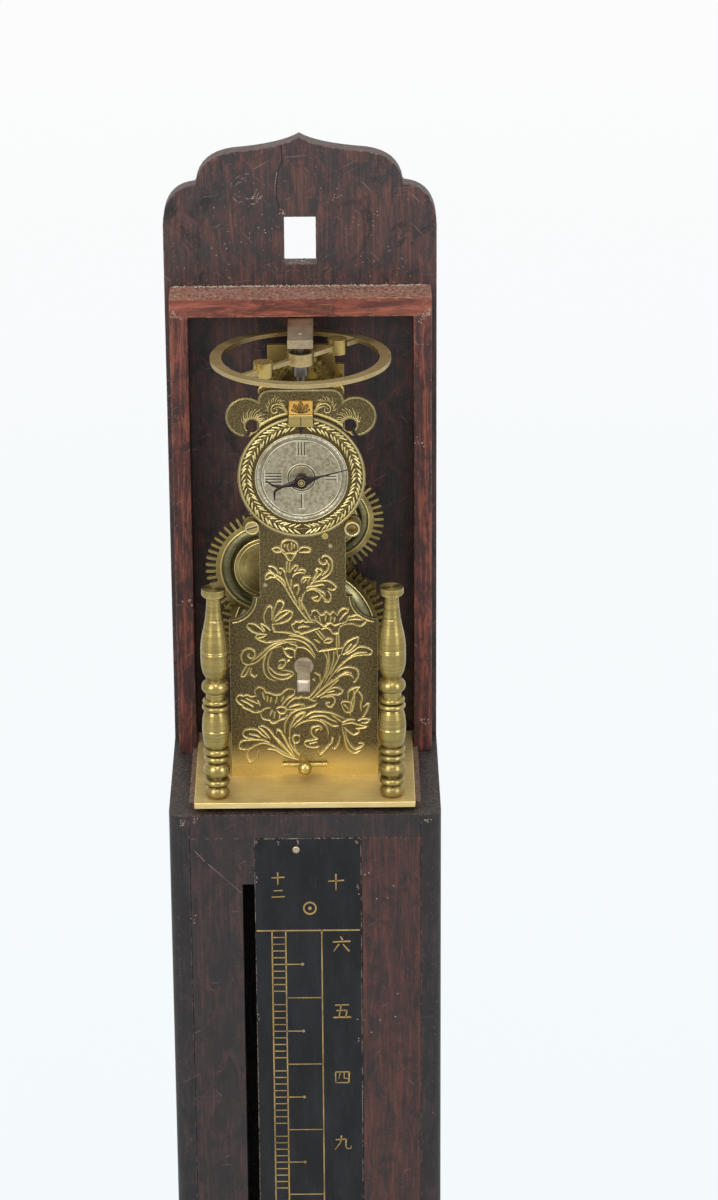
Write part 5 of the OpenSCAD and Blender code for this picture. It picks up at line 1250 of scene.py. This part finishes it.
# %% Brush-written numerals
# start, end, and the widths there
BRUSH = {
    "10": [[(0.06, 0.56), (0.94, 0.6), 0.09, 0.12], [(0.5, 0.98), (0.5, 0.02), 0.13, 0.08]],
    "2": [[(0.2, 0.74), (0.8, 0.77), 0.09, 0.12], [(0.05, 0.2), (0.95, 0.23), 0.1, 0.14]],
    "4": [[(0.12, 0.86), (0.12, 0.12), 0.1, 0.08], [(0.12, 0.86), (0.88, 0.86), 0.08, 0.1],
          [(0.88, 0.86), (0.86, 0.12), 0.12, 0.08], [(0.12, 0.14), (0.88, 0.14), 0.08, 0.08],
          [(0.38, 0.84), (0.3, 0.4), 0.09, 0.05], [(0.6, 0.84), (0.6, 0.44), 0.09, 0.06],
          [(0.6, 0.44), (0.8, 0.4), 0.07, 0.05]],
    "5": [[(0.14, 0.9), (0.88, 0.92), 0.09, 0.11], [(0.46, 0.9), (0.34, 0.1), 0.1, 0.08],
          [(0.2, 0.54), (0.78, 0.56), 0.08, 0.09], [(0.78, 0.56), (0.72, 0.1), 0.12, 0.09],
          [(0.03, 0.08), (0.97, 0.1), 0.1, 0.14]],
    "6": [[(0.46, 0.99), (0.56, 0.8), 0.08, 0.13], [(0.04, 0.64), (0.96, 0.68), 0.1, 0.13],
          [(0.36, 0.48), (0.08, 0.04), 0.12, 0.05], [(0.6, 0.48), (0.92, 0.05), 0.08, 0.15]],
    "7": [[(0.04, 0.5), (0.94, 0.66), 0.09, 0.13], [(0.44, 0.96), (0.44, 0.16), 0.12, 0.09],
          [(0.44, 0.16), (0.6, 0.08), 0.09, 0.1], [(0.6, 0.08), (0.92, 0.12), 0.1, 0.08],
          [(0.92, 0.12), (0.93, 0.28), 0.08, 0.05]],
    "8": [[(0.4, 0.82), (0.06, 0.06), 0.13, 0.05], [(0.54, 0.9), (0.7, 0.5), 0.07, 0.1],
          [(0.7, 0.5), (0.97, 0.06), 0.1, 0.16]],
    "9": [[(0.42, 0.97), (0.36, 0.5), 0.12, 0.1], [(0.36, 0.5), (0.06, 0.04), 0.1, 0.05],
          [(0.1, 0.7), (0.68, 0.74), 0.08, 0.1], [(0.68, 0.74), (0.66, 0.22), 0.12, 0.09],
          [(0.66, 0.22), (0.74, 0.08), 0.09, 0.1], [(0.74, 0.08), (0.96, 0.1), 0.1, 0.08],
          [(0.96, 0.1), (0.96, 0.28), 0.08, 0.04]],
}


def brush(sign, x, z, width, height):
    """Strokes of a sign whose lower left corner is at x, z."""
    outlines = []
    for start, end, w0, w1 in BRUSH[sign]:
        a = Vector((x + start[0] * width, z + start[1] * height))
        b = Vector((x + end[0] * width, z + end[1] * height))
        along = (b - a).normalized()
        across = along.orthogonal() * width * 0.42
        middle, waist = a.lerp(b, 0.5), across * (w0 + w1) * 0.42
        outlines.append([tuple(p) for p in (
            a - along * w0 * 0.2 * width, a - across * w0, middle - waist, b - across * w1,
            b + along * w1 * 0.45 * width, b + across * w1, middle + waist, a + across * w0)])
    return outlines


print("signs:", ", ".join(BRUSH))

# %% [markdown]
# The night hours at the top are the longer ones in this season: 19.5 mm against 15.5 mm
# below. The count runs from six to four and from nine to seven, then again.

# %% Hour lines
HOURS = "6549876549876"
FIRST_Z, NIGHT_HOUR, DAY_HOUR = -35.8, 19.5, 15.5
hour_z = [FIRST_Z - NIGHT_HOUR * k for k in range(7)]
hour_z += [hour_z[6] - DAY_HOUR * (k + 1) for k in range(6)]
# columns of the scale: its edges, the ladder of small steps, and the numerals' line
LEFT, LADDER_LEFT, LADDER_RIGHT, NUMERALS, RIGHT = -12.9, -8.9, -5.35, 4.0, 13.9
top_z, foot_z = hour_z[0], hour_z[-1]
lines = [bar((LADDER_LEFT, top_z), (LADDER_LEFT, foot_z), 0.36),
         bar((LADDER_RIGHT, top_z), (LADDER_RIGHT, foot_z), 0.34),
         bar((NUMERALS, top_z + 0.2), (NUMERALS, foot_z - 0.2), 0.32)]
signs = []
for k, z in enumerate(hour_z):
    first, last, width = (LEFT, RIGHT, 0.38) if k == 0 else (LADDER_RIGHT, NUMERALS, 0.28)
    lines.append(bar((first, z), (last, z), width))
    if z == foot_z:
        break
    step = (hour_z[k + 1] - z) / 10
    for tick in range(1, 10):
        lines.append(bar((LADDER_LEFT, z + tick * step), (LADDER_RIGHT, z + tick * step), 0.3,
                         0.26))
    half = z + 5 * step
    lines.append(bar((LADDER_RIGHT, half), (-1.4, half), 0.34, 0.28))
    lines.append(dot(-1.05, half, 0.42, 10))
    signs += brush(HOURS[k], 6.7, z - 6.2, 4.7, 4.4)
signs += brush("10", -9.0, -22.6, 3.6, 3.5) + brush("2", -9.0, -26.8, 3.6, 3.3)
signs += brush("10", 5.6, -24.3, 4.4, 4.6)
MARK_X, MARK_Z = 1.0, -29.4  # a plain ring with a dot at the head of the scale
for i in range(24):
    t0, t1 = (2 * math.pi * j / 24 for j in (i, i + 1))
    signs.append([(MARK_X + r * math.cos(t), MARK_Z + r * 1.05 * math.sin(t))
                  for r, t in ((1.35, t0), (1.8, t0), (1.8, t1), (1.35, t1))])
signs.append(dot(MARK_X, MARK_Z, 0.5, 12))
inlay("hour_lines", lines, SCALE_Y, gilt, proud=0.05)
inlay("hour_numerals", signs, SCALE_Y, gilt, proud=0.06)
print("hour lines at", [round(z, 1) for z in hour_z])

# %% [markdown]
# ## Dust
# Dust and crumbs of old lacquer gather where a ledge stops them. A few dozen tiny grains
# along the rail and in the hanging slot, and a fluffy line in the rail's joint, tell the
# eye how large the clock is. A seeded generator puts them in the same places each time.

# %% Dust grains
ANY_TURN = 6.28  # radians, a whole turn
grain_rng = random.Random(7)
dust_finish, shader, add, mm = start_finish("grey dust and lacquer crumbs", Roughness=0.95)
grey = add("TexNoise", {"Vector": mm, "Scale": 1 / 0.8})
set_inputs(shader, {"Base Color": add("Mix", {0: grey, 6: linear("#5A4A40"),
                                              7: linear("#C9B8A4")}, 2, data_type="RGBA")})


def grains(name, count, x_range, y_range, z, size):
    points, faces = [], []
    for _ in range(count):
        x, y = grain_rng.uniform(*x_range), grain_rng.uniform(*y_range)
        r = size * grain_rng.uniform(0.5, 1.3)
        turn = grain_rng.uniform(0, ANY_TURN)
        base = len(points)
        ring_points = [(x + r * math.cos(turn + a) * grain_rng.uniform(0.6, 1.2),
                        y + r * math.sin(turn + a), z + 0.2 * r) for a in
                       (2 * math.pi * i / 5 for i in range(5))]
        points += ring_points + [(x, y, z + r * 0.8), (x, y, z - 0.02)]
        for i in range(5):
            after = (i + 1) % 5
            faces.append((base + i, base + after, base + 5))
            faces.append((base + after, base + i, base + 6))
    add_piece(name, [place(*p) for p in points], faces, dust_finish)


grains("slot_dust", 16, (-3.4, 3.4), (-4.6, -0.5), SLOT_SILL_Z, 0.28)
grains("rail_dust", 60, (-29, 29), (-15.5, -5.6), RAIL_TOP_Z, 0.2)
grains("joint_dust", 420, (-32.5, 32.5), (-6.3, -5.1), RAIL_TOP_Z, 0.36)

# %% [markdown]
# ## Marks of use
# A crack runs down from the crest, a worn ring to its left shows where something rubbed,
# and the lacquer has chipped off at the rails' corners. Each is a thin inlay like the
# dial's lines, in the pale colour of bare, dusty wood, or, for the crack's open gap, in a
# near-black that is painted shade.

# %% Crack, rubbed ring and chips
bare_wood = plain_metal("pale chipped wood", "#A08C7C", "#6A5249", 0.7, 0.9, metallic=0.0)
worn_wood = plain_metal("brown chipped wood", "#98776A", "#5E463E", 0.7, 0.9, metallic=0.0)
crack_painted_shade = plain_metal("painted shade in open crack", "#140E0E", "#0C0808", 0.8, 1.0, metallic=0.0)
crack = [(-4.5, 160.2), (-4.3, 156.3), (-5.4, 153.1), (-5.9, 149.7), (-5.9, 146.8),
         (-5.2, 143.7)]
# the crack's opening is a near-black inlay: painted shade in the gap
inlay("crest_crack", [bar(a, b, 0.35, 0.3) for a, b in zip(crack, crack[1:])], BOARD_Y,
      crack_painted_shade, proud=0.02)
crack_edge = [bar((a[0] - 0.25, a[1]), (b[0] - 0.25, b[1]), 0.1, 0.06)
              for a, b in zip(crack[2:4], crack[3:5])]
inlay("crest_crack_edge", crack_edge, BOARD_Y, bare_wood, proud=0.02)
RING_X, RING_Z = -13.4, 148.6
rubbed = []
for _ in range(34):
    turn, reach = grain_rng.uniform(0, ANY_TURN), grain_rng.uniform(2.2, 4.5)
    swing = grain_rng.uniform(0.15, 0.5)
    start, end = ((RING_X + reach * math.cos(t), RING_Z + 0.95 * reach * math.sin(t))
                  for t in (turn, turn + swing))
    rubbed.append(bar(start, end, grain_rng.uniform(0.06, 0.16), 0.05))
inlay("rubbed_ring", rubbed, BOARD_Y, bare_wood, proud=0.015)


def chips(name, spots_mm, face_y, size, wander=9.0, finish=bare_wood):
    """Ragged five-cornered flakes about each place; wander limits their spread in x."""
    flakes = []
    for x, z, count, spread in spots_mm:
        for _ in range(count):
            a = x + grain_rng.gauss(0, min(spread, wander))
            b = z + grain_rng.gauss(0, spread)
            flakes.append([(a + r * math.cos(t), b + r * math.sin(t)) for r, t in
                           ((size * grain_rng.uniform(0.4, 1.2), 2 * math.pi * i / 5)
                            for i in range(5))])
    inlay(name, flakes, face_y, finish, proud=0.02)


chips("rail_chips", [(32.2, 118.6, 14, 0.6), (31, 117.4, 8, 0.5), (-32.3, 118.8, 12, 0.5),
                     (31.6, 5.6, 9, 0.5), (-30.6, 40, 5, 0.6), (30.6, 84, 6, 0.7)],
      RAIL_Y, 0.26)
chips("board_chips", [(-4.2, 142.6, 9, 0.4), (8.5, 147, 8, 1.6), (16, 140, 10, 4),
                      (-20, 133, 10, 4), (22, 130, 12, 4), (-10, 138, 8, 3)], BOARD_Y, 0.2)
inlay("trunk_scratch", [bar((-28.3, -13.2), (-25.9, -15.9), 0.22, 0.14),
                        bar((-25.2, -16.6), (-16.6, -25.0), 0.1, 0.05)], TRUNK_Y, worn_wood,
      proud=0.015)
chips("trunk_chips", [(-31.2, -5.0, 14, 0.6), (-28, -4.6, 10, 0.5), (31.3, -4.8, 8, 0.5),
                      (-29, -33, 4, 1), (20, -22, 5, 3), (22, -60, 5, 4)], TRUNK_Y, 0.24)
chips("scale_chips", [(-12.6, -10.6, 5, 0.3), (-12.7, -22, 4, 1.5), (-12.7, -60, 5, 5),
                      (13.4, -24, 5, 0.8), (13.3, -10.6, 4, 0.3), (-7, -10.7, 4, 0.7),
                      (-2, -10.9, 5, 0.8), (13.3, -66, 3, 2)], SCALE_Y, 0.26, wander=0.12,
      finish=worn_wood)
ring_band("scale_screw", 0.5, 0.9, SCALE_Y, worn_steel, 0.12, count=24, centre=(-2.4, -12.8))
print("rubbed strokes:", len(rubbed))

# %% [markdown]
# ## Floor, lights and world
# A brass clock shows its surroundings, so the studio is plain: a pale floor, two large
# soft lamps from the front left and right, and a small one from above for a crisp line on
# edges. The background is made white by the ray type, for the camera and for mirrors
# alike, so it adds no light to the wood; its glow has a painted falloff, faintly darker
# and bluer near the clock. The floor keeps the clock's shadow.

# %% Studio
FLOOR_Z = -0.4262  # metres, under the clock's lowest point
floor_mesh = bpy.data.meshes.new("studio_floor")
floor_mesh.from_pydata([(x, y, FLOOR_Z) for x, y in ((-6, -6), (6, -6), (6, 9), (-6, 9))], [],
                       [(0, 1, 2, 3)])
floor = bpy.data.objects.new("studio_floor", floor_mesh)
bpy.context.scene.collection.objects.link(floor)
RAYS = ("Is Camera Ray", "Is Glossy Ray", "Is Transmission Ray")


def seen_directly(add):
    """1 for the rays that see the studio itself, 0 for those that light the clock."""
    first, second, third = (add("LightPath", {}, ray) for ray in RAYS)
    return add("Math", {0: first, 1: add("Math", {0: second, 1: third},
                                         operation="MAXIMUM")}, operation="MAXIMUM")


paper, shader, add, mm = start_finish("pale studio paper", Roughness=0.9,
                                      Base_Color=linear("#EDF1F3"))
flat = add("VectorMath", {0: mm, 1: (1, 1, 0)}, operation="MULTIPLY")
far = add("MapRange", {"Value": add("VectorMath", {0: flat}, "Value", operation="LENGTH"),
                       "From Min": -500, "From Max": 1900})
# the glow is faintly darker and bluer near the clock, white far off: a painted falloff of light
painted_falloff_tint = add("Mix", {0: far, 6: linear("#F0F8FC"), 7: linear("#FFFFFF")}, 2, data_type="RGBA")
both = add("MixShader", {0: add("Math", {0: seen_directly(add), 1: 0.94},
                                operation="MULTIPLY"),
                         1: shader.outputs[0], 2: add("Emission", {"Color": painted_falloff_tint})})
set_inputs(paper.node_tree.nodes["Material Output"], {"Surface": both})
floor_mesh.materials.append(paper)


def softbox(name, spot, target, size, power, colour="#FFFFFF"):
    lamp = bpy.data.lights.new(name, "AREA")
    lamp.shape, lamp.size, lamp.size_y, lamp.energy = "RECTANGLE", size[0], size[1], power
    lamp.color = linear(colour)[:3]
    holder = bpy.data.objects.new(name, lamp)
    holder.location = spot
    holder.rotation_euler = (Vector(target) - Vector(spot)).to_track_quat("-Z", "Y").to_euler()
    bpy.context.scene.collection.objects.link(holder)


softbox("key_softbox", (-0.9, -1.15, 0.75), (0, 0, -0.05), (0.7, 0.9), 17, "#FFFBF4")
softbox("fill_softbox", (1.05, -0.95, 0.45), (0, 0, -0.08), (0.6, 0.8), 9, "#F4F8FF")
softbox("top_softbox", (0.05, -0.55, 1.0), (0, 0, -0.05), (0.35, 0.3), 4.5)

world = bpy.data.worlds.new("white studio")
world.use_nodes = True
bpy.context.scene.world = world
add = functools.partial(add_node, world.node_tree)
set_inputs(world.node_tree.nodes["Background"], {
    "Color": linear("#FFFFFF"),
    "Strength": add("MapRange", {"Value": seen_directly(add), "To Min": 0.5})})
bpy.context.scene.view_settings.view_transform = "Standard"

# %% [markdown]
# ## Camera
# The camera stands where the photograph was taken from, with the same lens.

# %% Camera
lens = bpy.data.cameras.new("photo_camera")
lens.sensor_fit, lens.sensor_height, lens.lens = "VERTICAL", SENSOR_MM, LENS_MM
lens.clip_start = 0.05
camera = bpy.data.objects.new("photo_camera", lens)
camera.matrix_world = Matrix.Translation(viewpoint * MM) @ axes.transposed().to_4x4()
bpy.context.scene.collection.objects.link(camera)
bpy.context.scene.camera = camera
print("camera looks down by", round(math.degrees(PITCH), 1), "degrees")
